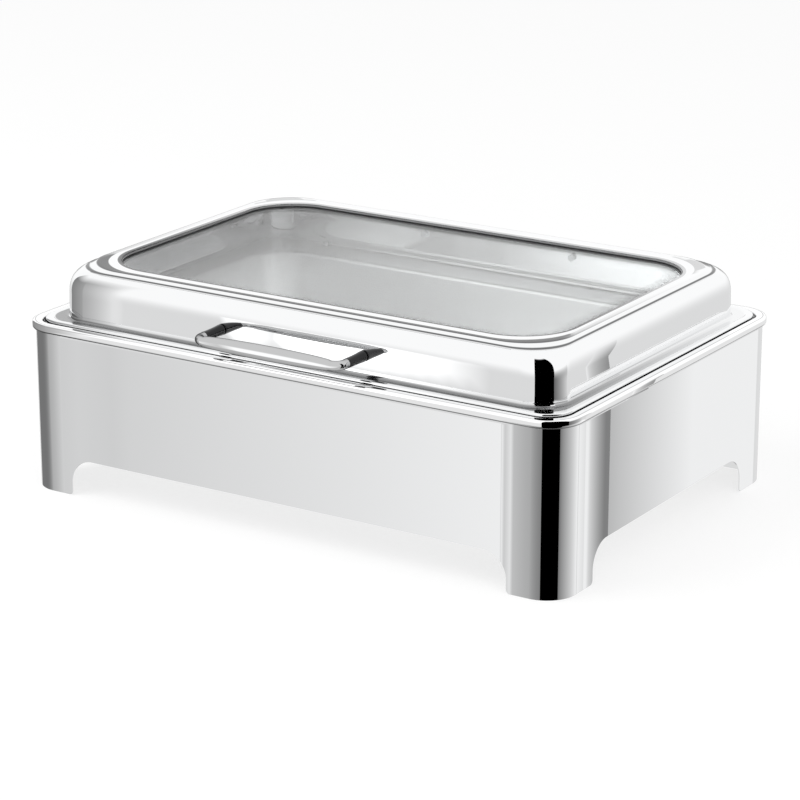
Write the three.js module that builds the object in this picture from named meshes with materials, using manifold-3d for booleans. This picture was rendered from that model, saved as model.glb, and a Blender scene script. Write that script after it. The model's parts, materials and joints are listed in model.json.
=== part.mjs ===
// Electric chafing dish: a stand of sheet steel on four corner feet, a water pan
// with its heater, a food pan, and a hinged lid with a glass window.
// Millimetres, +X to the right along the front, -Y towards the handle, +Z up.

import * as THREE from 'three';
import { mergeVertices } from 'three/addons/utils/BufferGeometryUtils.js';
import Module from 'manifold-3d';

const wasm = await Module();
wasm.setup();

// Fits and overruns
const gap = 0.3;
const overrun = 6;
const weldTolerance = 1e-4;

// Counts of flats on round forms
const cornerSteps = 5;
const archSteps = 4;
const smallSides = 10;
const turnedSides = 14;
const roundSides = 28;
const wireSides = 5;
const studSides = 8;
const nutSides = 6;
const beadSteps = 2;
const shoulderSteps = 5;
const domeSteps = 3;
const knuckleSteps = 12;
const elementSteps = 54;
const elementSides = 6;

// Shares of a length that soften a form
const bendShare = 0.3;
const sheetBendShare = 0.7;

// Food pan, a full-size catering insert
const panLength = 530;
const panWidth = 325;
const panDepth = 65;
const panFlange = 13;
const panCorner = 46;
const panTaper = 11;
const panSheet = 1;
const panLip = 5;
const floorRadius = 12;

// Stand
const sideBorder = 30;
const frontBorder = 43.75;
const standCorner = 30;
const standHeight = 158;
const sheet = 1.2;
const archRise = 37.2;
const frontFootWidth = 53.4;
const sideFootWidth = 61;
const archCorner = 24.6;
const footCorner = 4;

// Rolled rim with the ledge that carries the water pan
const rimProud = 3.5;
const rimWidth = 10.5;
const rimHeight = 8;
const rimEdgeRadius = 2.5;
const ledgeDrop = 6.6;
const ledgeLap = 5;
const webDepth = 9;

// Water pan
const waterEdgeGap = 0.8;
const waterLap = 7;
const waterDepth = 100;
const waterTaper = 8;

// Lid
const lidEdgeGap = 1;
const lidSink = 3.7;
const lidBeadHeight = 5.8;
const lidBeadWidth = 6.2;
const lidBeadEdge = 1.6;
const beadDegrees = 45;
const lidEdgeCorner = 26;
const lidWallInset = 14.6;
const lidFlangeDrop = 0.8;
const lidFootRadius = 3.4;
const lidFlare = 0.6;
const flareLeftShare = 0.35;
const flareShares = [0.4, 0.75];
const lidRise = 50;
const lidCorner = 33;
const shoulderRadius = 21;
const shoulderDegrees = 76;
const creaseInset = 17;
const creaseCorner = 56;
const creaseDrop = 0.7;

// Window
const windowSideBorder = 27.4;
const windowFrontBorder = 32.45;
const windowCorner = 54;
const glassThickness = 4;
const glassLap = 4;
const gasketLip = 1.2;
const gasketWall = 1.5;
const gasketShow = 1;
const retainerLap = 3;
const retainerSpacing = 150;
const retainerRows = 1;
const studRadius = 1.5;

// Handle
const handleSpan = 156;
const handleReach = 40;
const handleRise = 17.6;
const handleEndRadius = 3.9;
const handleMidHeight = 6.8;
const handleMidDepth = 5;
const handleBend = 9;
const collarBase = 5.2;
const collarNeck = 4;
const collarLength = 27;
const collarTipShare = 0.85;
const collarFlareShare = 0.4;
const barShares = [0.8, 0.6, 0.4, 0.2, 0];
const swellPower = 0.7;
const washerShare = 1.6;

// Hinges
const hingeSpacing = 172;
const hingeBehindRim = 1.3;
const hingeAboveRim = 11.6;
const knuckleRadius = 5;
const pinRadius = 2;
const pinHead = 3.2;
const bracketWidth = 44;
const earWidth = 8;
const bracketSheet = 2;
const bracketDrop = 30;
const earDegrees = 60;
const leafDegrees = 25;
const leafHeight = 22;
const leafArm = 4;
const bracketScrewSpread = 24;

// Screws
const screwRadius = 1.9;
const screwHeadRadius = 3.6;
const screwHeadHeight = 2;
const nutRadius = 3.6;
const nutHeight = 2.6;
const headTopShare = 0.7;
const capShare = 1.9;

// Lid bumpers
const bumperRadius = 2.6;
const bumperPlaceShare = 0.78;

// Heater under the water pan
const plateLength = 300;
const plateWidth = 180;
const plateThickness = 6;
const plateCorner = 16;
const elementRadius = 3.25;
const elementInset = 24;
const elementBend = 18;
const elementEndSpread = 25;
const elementTail = 76;
const passageClearance = 1.2;
const clampWidth = 14;
const clampThickness = 2;
const clampSpread = 70;
const terminalRadius = 1.5;
const terminalLength = 11;
const trayMargin = 6;
const trayFlange = 12;
const trayClearance = 1.2;
const cutoutRadius = 9;
const cutoutHeight = 7;
const cutoutInset = 50;
const cutoutRoom = 5;
const cutoutPinSpread = 3;
const bulbRadius = 3;
const bulbLength = 90;
const bulbRoom = 22.5;
const capillaryRadius = 0.8;
const strapWidth = 10;

// Control group on the rear wall
const panelLength = 200;
const panelHeight = 60;
const panelSheet = 1.5;
const panelRise = 84;
const panelCorner = 4;
const controlMargin = 22;
const boxWallMargin = 9.5;
const boxFlangeMargin = 1;
const wallLip = 2.5;
const boxDepth = 41;
const grommetRadius = 7;
const grommetHole = 4.5;
const grommetLip = 1.5;

const inletWidth = 27.2;
const inletHeight = 19.8;
const inletDepth = 22;
const inletFlange = 2.4;
const inletFlangeHeight = 2.5;
const socketWall = 1.4;
const socketDepth = 16;
const socketChamfer = 4;
const inletPinWidth = 2;
const inletPinHeight = 4;
const inletPinLength = 10.5;
const inletPinSpread = 7;

const switchWidth = 12.8;
const switchHeight = 19.6;
const switchDepth = 18;
const bezelMargin = 1.6;
const bezelHeight = 1.8;
const rockerWall = 0.9;
const rockerHalfLength = 7.7;
const rockerRise = 3.1;
const rockerDip = 1.5;
const rockerSink = 1.8;
const rockerRoot = 2.4;
const rockerTilt = 9;
const rockerRootShare = 0.65;

const lampRadius = 4;
const lampBezel = 6;
const lampBezelHeight = 1.4;
const lampDome = 3;
const lampDepth = 16;

const knobRadius = 21;
const knobGripRadius = 16.5;
const knobSkirtHeight = 4;
const knobHeight = 20;
const knobClearance = 1;
const knobFlutes = 12;
const fluteSteps = 3;
const fluteDepth = 0.9;
const knobRecess = 9.5;
const knobRecessDepth = 4.5;
const pointerWidth = 1.8;
const pointerDepth = 0.9;
const thermostatRadius = 15;
const thermostatDepth = 27;
const bushRadius = 4.8;
const bushReach = 3.2;
const bushNutHeight = 2;
const bushNutRadius = 7.5;
const shaftRadius = 3;
const shaftSeat = 10;
const shaftGrip = 10;

const wireRadius = 1.1;
const wireSteps = 10;
const wireRise = 3.1;
const wireApart = 1.8;
const earthStudLength = 8;

// Heights, from the floor up
const rimBottom = standHeight + gap;
const rimTop = rimBottom + rimHeight;
const ledgeTop = rimTop - ledgeDrop;
const waterFlangeBottom = ledgeTop + gap;
const waterFlangeTop = waterFlangeBottom + panSheet;
const waterFloor = waterFlangeTop - waterDepth;
const heaterTop = waterFloor - panSheet - gap;
const foodFlangeBottom = waterFlangeTop + gap;
const foodFlangeTop = foodFlangeBottom + panSheet;
const foodFloor = foodFlangeTop - panDepth;
const lidBottom = rimTop - lidSink;
const beadTop = lidBottom + lidBeadHeight;
const lidFlangeTop = beadTop - lidFlangeDrop;
const lidTop = beadTop + lidRise;
const shoulderCentre = lidTop - shoulderRadius;

// Half sizes seen from above
const standHalf = [panLength / 2 + sideBorder, panWidth / 2 + frontBorder];
const rimInner = rimWidth - rimProud;
const lidHalf = standHalf.map((half) => half - rimInner - lidEdgeGap);
const wallHalf = lidHalf.map((half) => half - lidWallInset);
const windowHalf = [wallHalf[0] - windowSideBorder, wallHalf[1] - windowFrontBorder];
const waterHalf = [panLength / 2 - waterLap, panWidth / 2 - waterLap];
const waterCorner = panCorner + panFlange - waterLap;

// One closed outline of a rounded rectangle at height z.
function ring(halves, inset, radius, z) {
  const quarters = [[1, 1], [-1, 1], [-1, -1], [1, -1]];
  const points = [];
  quarters.forEach(([signX, signY], quarter) => {
    const centreX = signX * (halves[0] - inset - radius);
    const centreY = signY * (halves[1] - inset - radius);
    for (let step = 0; step <= cornerSteps; step += 1) {
      const angle = (quarter + step / cornerSteps) * Math.PI / 2;
      const x = centreX + radius * Math.cos(angle);
      const y = centreY + radius * Math.sin(angle);
      points.push(new THREE.Vector3(x, y, z));
    }
  });
  return points;
}

// Six times the signed volume inside a triangle mesh.
function signedVolume(vertices, index) {
  let total = 0;
  for (let i = 0; i < index.length; i += 3) {
    const [a, b, c] = [vertices[index[i]], vertices[index[i + 1]], vertices[index[i + 2]]];
    total += new THREE.Vector3().crossVectors(a, b).dot(c);
  }
  return total;
}

// A skin over a row of outlines: a closed row makes a hoop, an open row is capped at both ends.
function skin(rings, closed) {
  const count = rings[0].length;
  const vertices = rings.flat();
  const index = [];
  const rows = closed ? rings.length : rings.length - 1;
  for (let row = 0; row < rows; row += 1) {
    const here = row * count;
    const next = ((row + 1) % rings.length) * count;
    for (let i = 0; i < count; i += 1) {
      const j = (i + 1) % count;
      index.push(here + i, here + j, next + j, here + i, next + j, next + i);
    }
  }
  if (!closed) {
    [[0, 1], [rings.length - 1, -1]].forEach(([row, turn]) => {
      const centre = new THREE.Vector3();
      rings[row].forEach((point) => centre.add(point));
      vertices.push(centre.divideScalar(count));
      for (let i = 0; i < count; i += 1) {
        const a = row * count + i;
        const b = row * count + (i + 1) % count;
        index.push(vertices.length - 1, turn > 0 ? b : a, turn > 0 ? a : b);
      }
    });
  }
  if (signedVolume(vertices, index) < 0) {
    index.reverse();
  }
  const geometry = new THREE.BufferGeometry();
  geometry.setFromPoints(vertices);
  geometry.setIndex(index);
  geometry.computeVertexNormals();
  return geometry;
}

// The points of an arc from one angle to another, in degrees, both ends included.
function arc(centre, radius, from, to, steps) {
  const points = [];
  for (let step = 0; step <= steps; step += 1) {
    const angle = THREE.MathUtils.degToRad(from + (to - from) * step / steps);
    points.push([centre[0] + radius * Math.cos(angle), centre[1] + radius * Math.sin(angle)]);
  }
  return points;
}

function shapeOf(points) {
  return new THREE.Shape(points.map(([x, y]) => new THREE.Vector2(x, y)));
}

// A rounded rectangle with its middle at (x, y).
function plateShape(width, height, radius, x = 0, y = 0) {
  const right = width / 2 - radius;
  const top = height / 2 - radius;
  return shapeOf([
    ...arc([x + right, y + top], radius, 0, 90, archSteps),
    ...arc([x - right, y + top], radius, 90, 180, archSteps),
    ...arc([x - right, y - top], radius, 180, 270, archSteps),
    ...arc([x + right, y - top], radius, 270, 360, archSteps),
  ]);
}

function boxShape(width, height, x = 0, y = 0) {
  return shapeOf([
    [x - width / 2, y - height / 2],
    [x + width / 2, y - height / 2],
    [x + width / 2, y + height / 2],
    [x - width / 2, y + height / 2],
  ]);
}

// A straight bar of a shape: drawn in X and Y and raised along Z.
function alongZ(shape, from, to) {
  const geometry = new THREE.ExtrudeGeometry(shape, { depth: to - from, bevelEnabled: false });
  return geometry.translate(0, 0, from);
}

// The shape is drawn in X and Z and runs along Y.
function alongY(shape, from, to) {
  return alongZ(shape, -to, -from).rotateX(Math.PI / 2);
}

// The shape is drawn in Y and Z and runs along X.
function alongX(shape, from, to) {
  const basis = new THREE.Matrix4().makeBasis(
    new THREE.Vector3(0, 1, 0),
    new THREE.Vector3(0, 0, 1),
    new THREE.Vector3(1, 0, 0),
  );
  return alongZ(shape, from, to).applyMatrix4(basis);
}

// A turned piece: the profile is (radius, distance along the axis), from axis to axis.
function turned(profile, sides = smallSides) {
  const points = profile.map(([radius, along]) => new THREE.Vector2(radius, along));
  return new THREE.LatheGeometry(points, sides);
}

function turnedUp(profile, x, y, sides = smallSides) {
  return turned(profile, sides).rotateX(Math.PI / 2).translate(x, y, 0);
}

function turnedBack(profile, x, z, sides = smallSides) {
  return turned(profile, sides).translate(x, 0, z);
}

function cylinderProfile(radius, from, to) {
  return [[0, from], [radius, from], [radius, to], [0, to]];
}

function rodUp(radius, from, to, x, y, sides = smallSides) {
  return turnedUp(cylinderProfile(radius, from, to), x, y, sides);
}

function rodBack(radius, from, to, x, z, sides = smallSides) {
  return turnedBack(cylinderProfile(radius, from, to), x, z, sides);
}

function rodAcross(radius, from, to, y, z, sides = smallSides) {
  return turned(cylinderProfile(radius, from, to), sides).rotateZ(-Math.PI / 2).translate(0, y, z);
}

// A screw along Y: its head at the +Y end, its shank towards -Y.
function screwBack(x, z, headFace, tip) {
  return turnedBack([
    [0, tip],
    [screwRadius, tip],
    [screwRadius, headFace],
    [screwHeadRadius, headFace],
    [screwHeadRadius, headFace + screwHeadHeight / 2],
    [screwHeadRadius * headTopShare, headFace + screwHeadHeight],
    [0, headFace + screwHeadHeight],
  ], x, z);
}

// A screw along Y with its hexagonal nut run up to nutFace.
function boltBack(x, z, headFace, nutFace) {
  const nut = rodBack(nutRadius, nutFace - nutHeight, nutFace, x, z, nutSides);
  return join(screwBack(x, z, headFace, nutFace - nutHeight - gap), nut);
}

// A stud that hangs from a sheet, with its round cap nut below the piece that it holds.
function capStud(radius, top, capTop, x, y) {
  return join(
    rodUp(radius, capTop - nutHeight - gap, top, x, y, studSides),
    rodUp(radius * capShare, capTop - nutHeight, capTop, x, y, studSides),
  );
}

// A round tube along a smooth line through points.
function wire(points, radius, steps = wireSteps, sides = wireSides) {
  const path = new THREE.CatmullRomCurve3(points.map((point) => new THREE.Vector3(...point)));
  path.curveType = 'centripetal';
  const section = shapeOf(arc([0, 0], radius, 0, 360, sides).slice(0, sides));
  return new THREE.ExtrudeGeometry(section, { steps, extrudePath: path, bevelEnabled: false });
}

function manifoldOf(geometry) {
  const bare = geometry.clone();
  bare.deleteAttribute('normal');
  bare.deleteAttribute('uv');
  const merged = mergeVertices(bare, weldTolerance);
  return new wasm.Manifold(new wasm.Mesh({
    numProp: 3,
    vertProperties: new Float32Array(merged.attributes.position.array),
    triVerts: new Uint32Array(merged.index.array),
  }));
}

function geometryOf(manifold) {
  const mesh = manifold.getMesh();
  const geometry = new THREE.BufferGeometry();
  geometry.setAttribute('position', new THREE.BufferAttribute(mesh.vertProperties, 3));
  geometry.setIndex(new THREE.BufferAttribute(mesh.triVerts, 1));
  geometry.computeVertexNormals();
  return geometry;
}

function cut(base, ...tools) {
  return geometryOf(tools.reduce((solid, tool) => solid.subtract(manifoldOf(tool)), manifoldOf(base)));
}

function join(base, ...others) {
  return geometryOf(others.reduce((solid, other) => solid.add(manifoldOf(other)), manifoldOf(base)));
}

// Finishes
const polishedSteel = { color: 0xd8dadc, roughness: 0.12, metalness: 1 };
const satinSteel = { color: 0xbfc2c4, roughness: 0.35, metalness: 1 };
const aluminium = { color: 0xaeb1b5, roughness: 0.5, metalness: 1 };
const zinc = { color: 0x9ea3a8, roughness: 0.4, metalness: 1 };
const copper = { color: 0xb87348, roughness: 0.4, metalness: 1 };
const clearGlass = { color: 0xdfe6e4, roughness: 0.05, metalness: 0, transparent: true, opacity: 0.35 };
const blackPlastic = { color: 0x1b1c1e, roughness: 0.5, metalness: 0 };
const darkRubber = { color: 0x2a2b2d, roughness: 0.8, metalness: 0 };
const paleRubber = { color: 0xc9cbc9, roughness: 0.7, metalness: 0 };
const redPlastic = { color: 0xb3261e, roughness: 0.3, metalness: 0 };
const brownWire = { color: 0x5b3a24, roughness: 0.6, metalness: 0 };
const blueWire = { color: 0x24518f, roughness: 0.6, metalness: 0 };
const earthWire = { color: 0x6c8f2c, roughness: 0.6, metalness: 0 };

const dish = new THREE.Group();
const lid = new THREE.Group();
dish.add(lid);

function piece(name, geometry, finish, parent = dish) {
  const mesh = new THREE.Mesh(geometry, new THREE.MeshStandardMaterial(finish));
  mesh.name = name;
  parent.add(mesh);
  return mesh;
}

const sides = ['left', 'right'];
const fourCorners = [[-1, -1], [1, -1], [1, 1], [-1, 1]];

// Shared places on the rear wall
const wallBack = standHalf[1];
const wallInside = wallBack - sheet;
const panelInside = wallBack + gap;
const panelBack = panelInside + panelSheet;
const boxWallHalf = [panelLength / 2 - boxWallMargin, panelHeight / 2 - boxWallMargin + wallLip];
const boxFlangeHalf = [panelLength / 2 - boxFlangeMargin, panelHeight / 2 - boxFlangeMargin];
const cutoutHalf = boxWallHalf.map((half) => half - wallLip);
const boxBack = wallInside - gap;
const boxFront = boxBack - boxDepth;
const boxBottom = panelRise - boxWallHalf[1];
const controlWidths = [
  inletWidth + 2 * inletFlange,
  switchWidth + 2 * bezelMargin,
  2 * lampBezel,
  2 * knobRadius,
];
const controlTotal = controlWidths.reduce((total, width) => total + width, 0);
const controlSpace = (panelLength - 2 * controlMargin - controlTotal) / (controlWidths.length - 1);
const [inletPlace, switchPlace, lampPlace, knobPlace] = controlWidths.map((width, index) => (
  controlWidths.slice(0, index).reduce((place, before) => place + before + controlSpace, width / 2)
  + controlMargin - panelLength / 2
));
const screwInsetX = (boxFlangeHalf[0] - boxWallHalf[0]) / 2;
const screwInsetZ = (boxFlangeHalf[1] - boxWallHalf[1]) / 2;
const panelScrews = fourCorners.map(([signX, signZ]) => [
  signX * (boxFlangeHalf[0] - screwInsetX),
  panelRise + signZ * (boxFlangeHalf[1] - screwInsetZ),
]);

// Shared places of the hinges
const hingeY = wallBack + rimProud + hingeBehindRim;
const hingeZ = rimTop + hingeAboveRim;
const hingePlaces = [-hingeSpacing / 2, hingeSpacing / 2];
const bracketInside = wallBack + gap;
const bracketTop = rimBottom - gap;
const bracketScrewZ = bracketTop - bracketDrop / 2;
const leafInside = wallHalf[1] + lidFlare + gap;
const leafTop = hingeZ + leafHeight;
const leafBoltZ = leafTop - leafHeight / 2 + leafArm;
const bracketScrews = hingePlaces.flatMap((place) => [
  [place - bracketScrewSpread / 2, bracketScrewZ],
  [place + bracketScrewSpread / 2, bracketScrewZ],
]);

// The opening under one side of the stand, between two feet.
function archShape(halfWidth) {
  return shapeOf([
    [halfWidth + footCorner, -overrun],
    ...arc([halfWidth + footCorner, footCorner], footCorner, 270, 180, archSteps),
    ...arc([halfWidth - archCorner, archRise - archCorner], archCorner, 0, 90, archSteps),
    ...arc([archCorner - halfWidth, archRise - archCorner], archCorner, 90, 180, archSteps),
    ...arc([-halfWidth - footCorner, footCorner], footCorner, 0, -90, archSteps),
    [-halfWidth - footCorner, -overrun],
  ]);
}

function buildStand() {
  const walls = skin([
    ring(standHalf, 0, standCorner, 0),
    ring(standHalf, 0, standCorner, standHeight),
    ring(standHalf, sheet, standCorner - sheet, standHeight),
    ring(standHalf, sheet, standCorner - sheet, 0),
  ], true);
  const frontArch = archShape(standHalf[0] - frontFootWidth);
  const sideArch = archShape(standHalf[1] - sideFootWidth);
  const window = boxShape(2 * cutoutHalf[0], 2 * cutoutHalf[1], 0, panelRise);
  const holes = [...panelScrews, ...bracketScrews].map(([x, z]) => (
    rodBack(screwRadius + gap, wallInside - overrun, wallBack + overrun, x, z)
  ));
  const stand = cut(
    walls,
    alongY(frontArch, -wallBack - overrun, wallBack + overrun),
    alongX(sideArch, -standHalf[0] - overrun, standHalf[0] + overrun),
    alongY(window, wallInside - overrun, wallBack + overrun),
    ...holes,
  );
  piece('stand', stand, polishedSteel);
}

function buildRim() {
  const webOutside = sheet + gap;
  const webInside = webOutside + sheet;
  const ledgeEdge = [waterHalf[0] + panSheet + ledgeLap, waterHalf[1] + panSheet + ledgeLap];
  const bead = [
    [gap, rimBottom],
    ...arc([rimProud - rimEdgeRadius, rimBottom + rimEdgeRadius], rimEdgeRadius, -90, 0, beadSteps),
    ...arc([rimProud - rimEdgeRadius, rimTop - rimEdgeRadius], rimEdgeRadius, 0, 90, beadSteps),
    ...arc([rimEdgeRadius - rimInner, rimTop - rimEdgeRadius], rimEdgeRadius, 90, 180, beadSteps),
    [-rimInner, ledgeTop],
  ];
  const outside = bead.map(([out, z]) => ring(standHalf, -out, standCorner + out, z));
  const ledgeRadius = waterCorner + ledgeLap;
  const ledge = [
    ring(ledgeEdge, 0, ledgeRadius, ledgeTop),
    ring(ledgeEdge, 0, ledgeRadius, ledgeTop - sheet),
  ];
  const web = [
    ring(standHalf, webInside, standCorner - webInside, ledgeTop - sheet),
    ring(standHalf, webInside, standCorner - webInside, rimBottom - webDepth),
    ring(standHalf, webOutside, standCorner - webOutside, rimBottom - webDepth),
    ring(standHalf, webOutside, standCorner - webOutside, rimBottom),
  ];
  const rimShell = skin([...outside, ...ledge, ...web], true);
  piece('top_rim', rimShell, polishedSteel);
}

// The tray under the heater hangs from studs on the water pan's floor.
const trayHalf = [plateLength / 2 + trayMargin, plateWidth / 2 + trayMargin];
const strapSide = bulbRadius + gap;
const bulbPlace = trayHalf[0] + trayFlange + bulbRoom + strapSide + sheet + strapWidth;
const cutoutPlace = [cutoutInset - plateLength / 2, trayHalf[1] + trayFlange + cutoutRoom + cutoutRadius];
const shieldPlaces = fourCorners.map(([signX, signY]) => [
  signX * (trayHalf[0] + (trayFlange + sheet) / 2),
  signY * trayHalf[1] / 2,
]);

// A deep pan as outlines from the middle of its floor out over the flange and back beneath.
function panOutlines(wall, corner, flangeOut, flangeCorner, flangeTop, floorTop, taper, lip) {
  const low = [wall[0] - taper, wall[1] - taper];
  const lipBend = lip * bendShare;
  const floorBend = floorRadius * bendShare;
  const inside = [
    ring(low, floorRadius, corner - floorRadius / 2, floorTop),
    ring(low, floorBend, corner - floorBend / 2, floorTop + floorBend),
    ring(low, 0, corner, floorTop + floorRadius),
    ring(wall, 0, corner, flangeTop - lip),
    ring(wall, -lipBend, corner + lipBend, flangeTop - lipBend),
    ring(wall, -lip, corner + lip, flangeTop),
    ring(flangeOut, 0, flangeCorner, flangeTop),
  ];
  const under = flangeTop - panSheet;
  const outside = [
    ring(flangeOut, 0, flangeCorner, under),
    ring(wall, -lip, corner + lip, under),
    ring(wall, -lipBend - panSheet, corner + lipBend + panSheet, flangeTop - lipBend - panSheet / 2),
    ring(wall, -panSheet, corner + panSheet, flangeTop - lip - panSheet / 2),
    ring(low, -panSheet, corner + panSheet, floorTop + floorRadius),
    ring(low, floorBend - panSheet, corner, floorTop + floorBend - panSheet * sheetBendShare),
    ring(low, floorRadius, corner - floorRadius / 2, floorTop - panSheet),
  ];
  return [...inside, ...outside];
}

function buildPans() {
  const rimFace = rimInner + waterEdgeGap;
  const waterEdge = standHalf.map((half) => half - rimFace);
  const waterRings = panOutlines(
    waterHalf, waterCorner, waterEdge, standCorner - rimFace,
    waterFlangeTop, waterFloor, waterTaper, panSheet,
  );
  const shieldStuds = shieldPlaces.map(([x, y]) => (
    capStud(screwRadius, waterFloor - panSheet / 2, heaterTop - sheet - gap, x, y)
  ));
  piece('water_pan', join(skin(waterRings, false), ...shieldStuds), satinSteel);
  const foodEdge = [panLength / 2, panWidth / 2];
  const foodHalf = foodEdge.map((half) => half - panFlange);
  const foodRings = panOutlines(
    foodHalf, panCorner, foodEdge, panCorner + panFlange, foodFlangeTop, foodFloor, panTaper, panLip,
  );
  piece('food_pan', skin(foodRings, false), satinSteel);
}

// The lid's wall and shoulder as (inset from the wall, height, corner radius), inside or outside.
function lidProfile(thickness) {
  const radius = shoulderRadius - thickness;
  const rise = shoulderCentre - beadTop;
  const footTop = lidFlangeTop + lidFootRadius;
  const foot = arc(
    [-lidFlare - lidFootRadius, footTop], lidFootRadius + thickness, 270, 360, beadSteps,
  ).map(([inset, z]) => [inset, z, lidCorner - inset]);
  const wall = [
    [-lidFlare * flareLeftShare + thickness, beadTop + rise * flareShares[0], lidCorner],
    [thickness, beadTop + rise * flareShares[1], lidCorner],
  ];
  const shoulder = arc(
    [shoulderRadius, shoulderCentre], radius, 180, 180 - shoulderDegrees, shoulderSteps,
  ).map(([inset, z], step) => {
    const share = (step / shoulderSteps) ** 2;
    return [inset, z, lidCorner + (creaseCorner - lidCorner) * share];
  });
  return [...foot, ...wall, ...shoulder];
}

// Places round the window, under the shell
const windowEdge = lidTop - creaseDrop;
const shellUnder = windowEdge - sheet;
const gasketTop = shellUnder - gap;
const slot = glassLap + gap;
const gasketOut = slot + gasketWall;
const riserIn = gasketOut + gap;
const riserOut = riserIn + sheet;
const flangeHalf = wallHalf.map((half) => half - creaseInset + gap);
const retainerY = (windowHalf[1] + riserOut + flangeHalf[1]) / 2;
const retainerPlaces = [];
for (let row = -retainerRows; row <= retainerRows; row += 1) {
  retainerPlaces.push([row * retainerSpacing, retainerY], [row * retainerSpacing, -retainerY]);
}

function buildLidShell() {
  const beadIn = lidWallInset - lidBeadWidth;
  const bead = [
    [-beadIn, lidBottom],
    [-lidWallInset + lidBeadEdge, lidBottom],
    ...arc([-lidWallInset + lidBeadEdge, lidBottom + lidBeadEdge], lidBeadEdge, 180 + beadDegrees, 180, 1),
    ...arc([-lidWallInset + lidBeadEdge, beadTop - lidBeadEdge], lidBeadEdge, 180, 90, beadSteps),
    ...arc([-beadIn - lidBeadEdge, beadTop - lidBeadEdge], lidBeadEdge, 90, beadDegrees, 1),
  ];
  const outer = [
    ...bead.map(([inset, z]) => ring(wallHalf, inset, lidEdgeCorner, z)),
    ...lidProfile(0).map(([inset, z, radius]) => ring(wallHalf, inset, radius, z)),
    ring(wallHalf, creaseInset, creaseCorner, lidTop - creaseDrop / 2),
    ring(wallHalf, creaseInset + creaseDrop, creaseCorner, windowEdge),
    ring(windowHalf, -sheet / 2, windowCorner + sheet / 2, windowEdge),
    ring(windowHalf, 0, windowCorner, windowEdge - sheet / 2),
  ];
  const inner = [
    ring(windowHalf, 0, windowCorner, shellUnder),
    ring(wallHalf, creaseInset + creaseDrop, creaseCorner, shellUnder),
    ...lidProfile(sheet).reverse().map(([inset, z, radius]) => ring(wallHalf, inset, radius, z)),
    ring(wallHalf, -beadIn, lidEdgeCorner, lidFlangeTop - sheet),
  ];
  const handleHoles = handlePlaces.map((x) => (
    rodBack(screwRadius + gap, -wallHalf[1] - overrun, -wallHalf[1] + overrun, x, handleZ)
  ));
  const hingeHoles = hingePlaces.map((x) => (
    rodBack(screwRadius + gap, wallHalf[1] - overrun, wallHalf[1] + overrun, x, leafBoltZ)
  ));
  const studs = retainerPlaces.map(([x, y]) => (
    capStud(studRadius, shellUnder + sheet / 2, gasketTop - sheet - gap, x, y)
  ));
  const shell = cut(skin([...outer, ...inner], true), ...handleHoles, ...hingeHoles);
  piece('lid_shell', join(shell, ...studs), polishedSteel, lid);
}

function buildWindow() {
  const glassTop = gasketTop - gasketLip - gap;
  const glassBottom = glassTop - glassThickness;
  const gasketBottom = glassBottom - gap - gasketLip;
  const pane = skin([
    ring(windowHalf, -glassLap, windowCorner + glassLap, glassBottom),
    ring(windowHalf, -glassLap, windowCorner + glassLap, glassTop),
  ], false);
  piece('lid_glass', pane, clearGlass, lid);
  const gasket = skin([
    ring(windowHalf, gasketShow, windowCorner - gasketShow, gasketBottom),
    ring(windowHalf, -gasketOut, windowCorner + gasketOut, gasketBottom),
    ring(windowHalf, -gasketOut, windowCorner + gasketOut, gasketTop),
    ring(windowHalf, gasketShow, windowCorner - gasketShow, gasketTop),
    ring(windowHalf, gasketShow, windowCorner - gasketShow, gasketTop - gasketLip),
    ring(windowHalf, -slot, windowCorner + slot, gasketTop - gasketLip),
    ring(windowHalf, -slot, windowCorner + slot, gasketBottom + gasketLip),
    ring(windowHalf, gasketShow, windowCorner - gasketShow, gasketBottom + gasketLip),
  ], true);
  piece('glass_gasket', gasket, darkRubber, lid);

  const lowerTop = gasketBottom - gap;
  const flangeCorner = creaseCorner;
  const retainerInner = riserIn - retainerLap;
  const frame = skin([
    ring(windowHalf, -retainerInner, windowCorner + retainerInner, lowerTop),
    ring(windowHalf, -riserIn, windowCorner + riserIn, lowerTop),
    ring(windowHalf, -riserIn, windowCorner + riserIn, gasketTop),
    ring(flangeHalf, 0, flangeCorner, gasketTop),
    ring(flangeHalf, 0, flangeCorner, gasketTop - sheet),
    ring(windowHalf, -riserOut, windowCorner + riserOut, gasketTop - sheet),
    ring(windowHalf, -riserOut, windowCorner + riserOut, lowerTop - sheet),
    ring(windowHalf, -retainerInner, windowCorner + retainerInner, lowerTop - sheet),
  ], true);
  const holes = retainerPlaces.map(([x, y]) => rodUp(studRadius + gap, lowerTop, shellUnder, x, y));
  piece('glass_retainer', cut(frame, ...holes), satinSteel, lid);
}

// Handle places
const handleZ = beadTop + handleRise;
const handlePlaces = [-handleSpan / 2, handleSpan / 2];
const handleFoot = wallHalf[1] + lidFlare + gap;
const handleY = -wallHalf[1] - handleReach;

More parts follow.
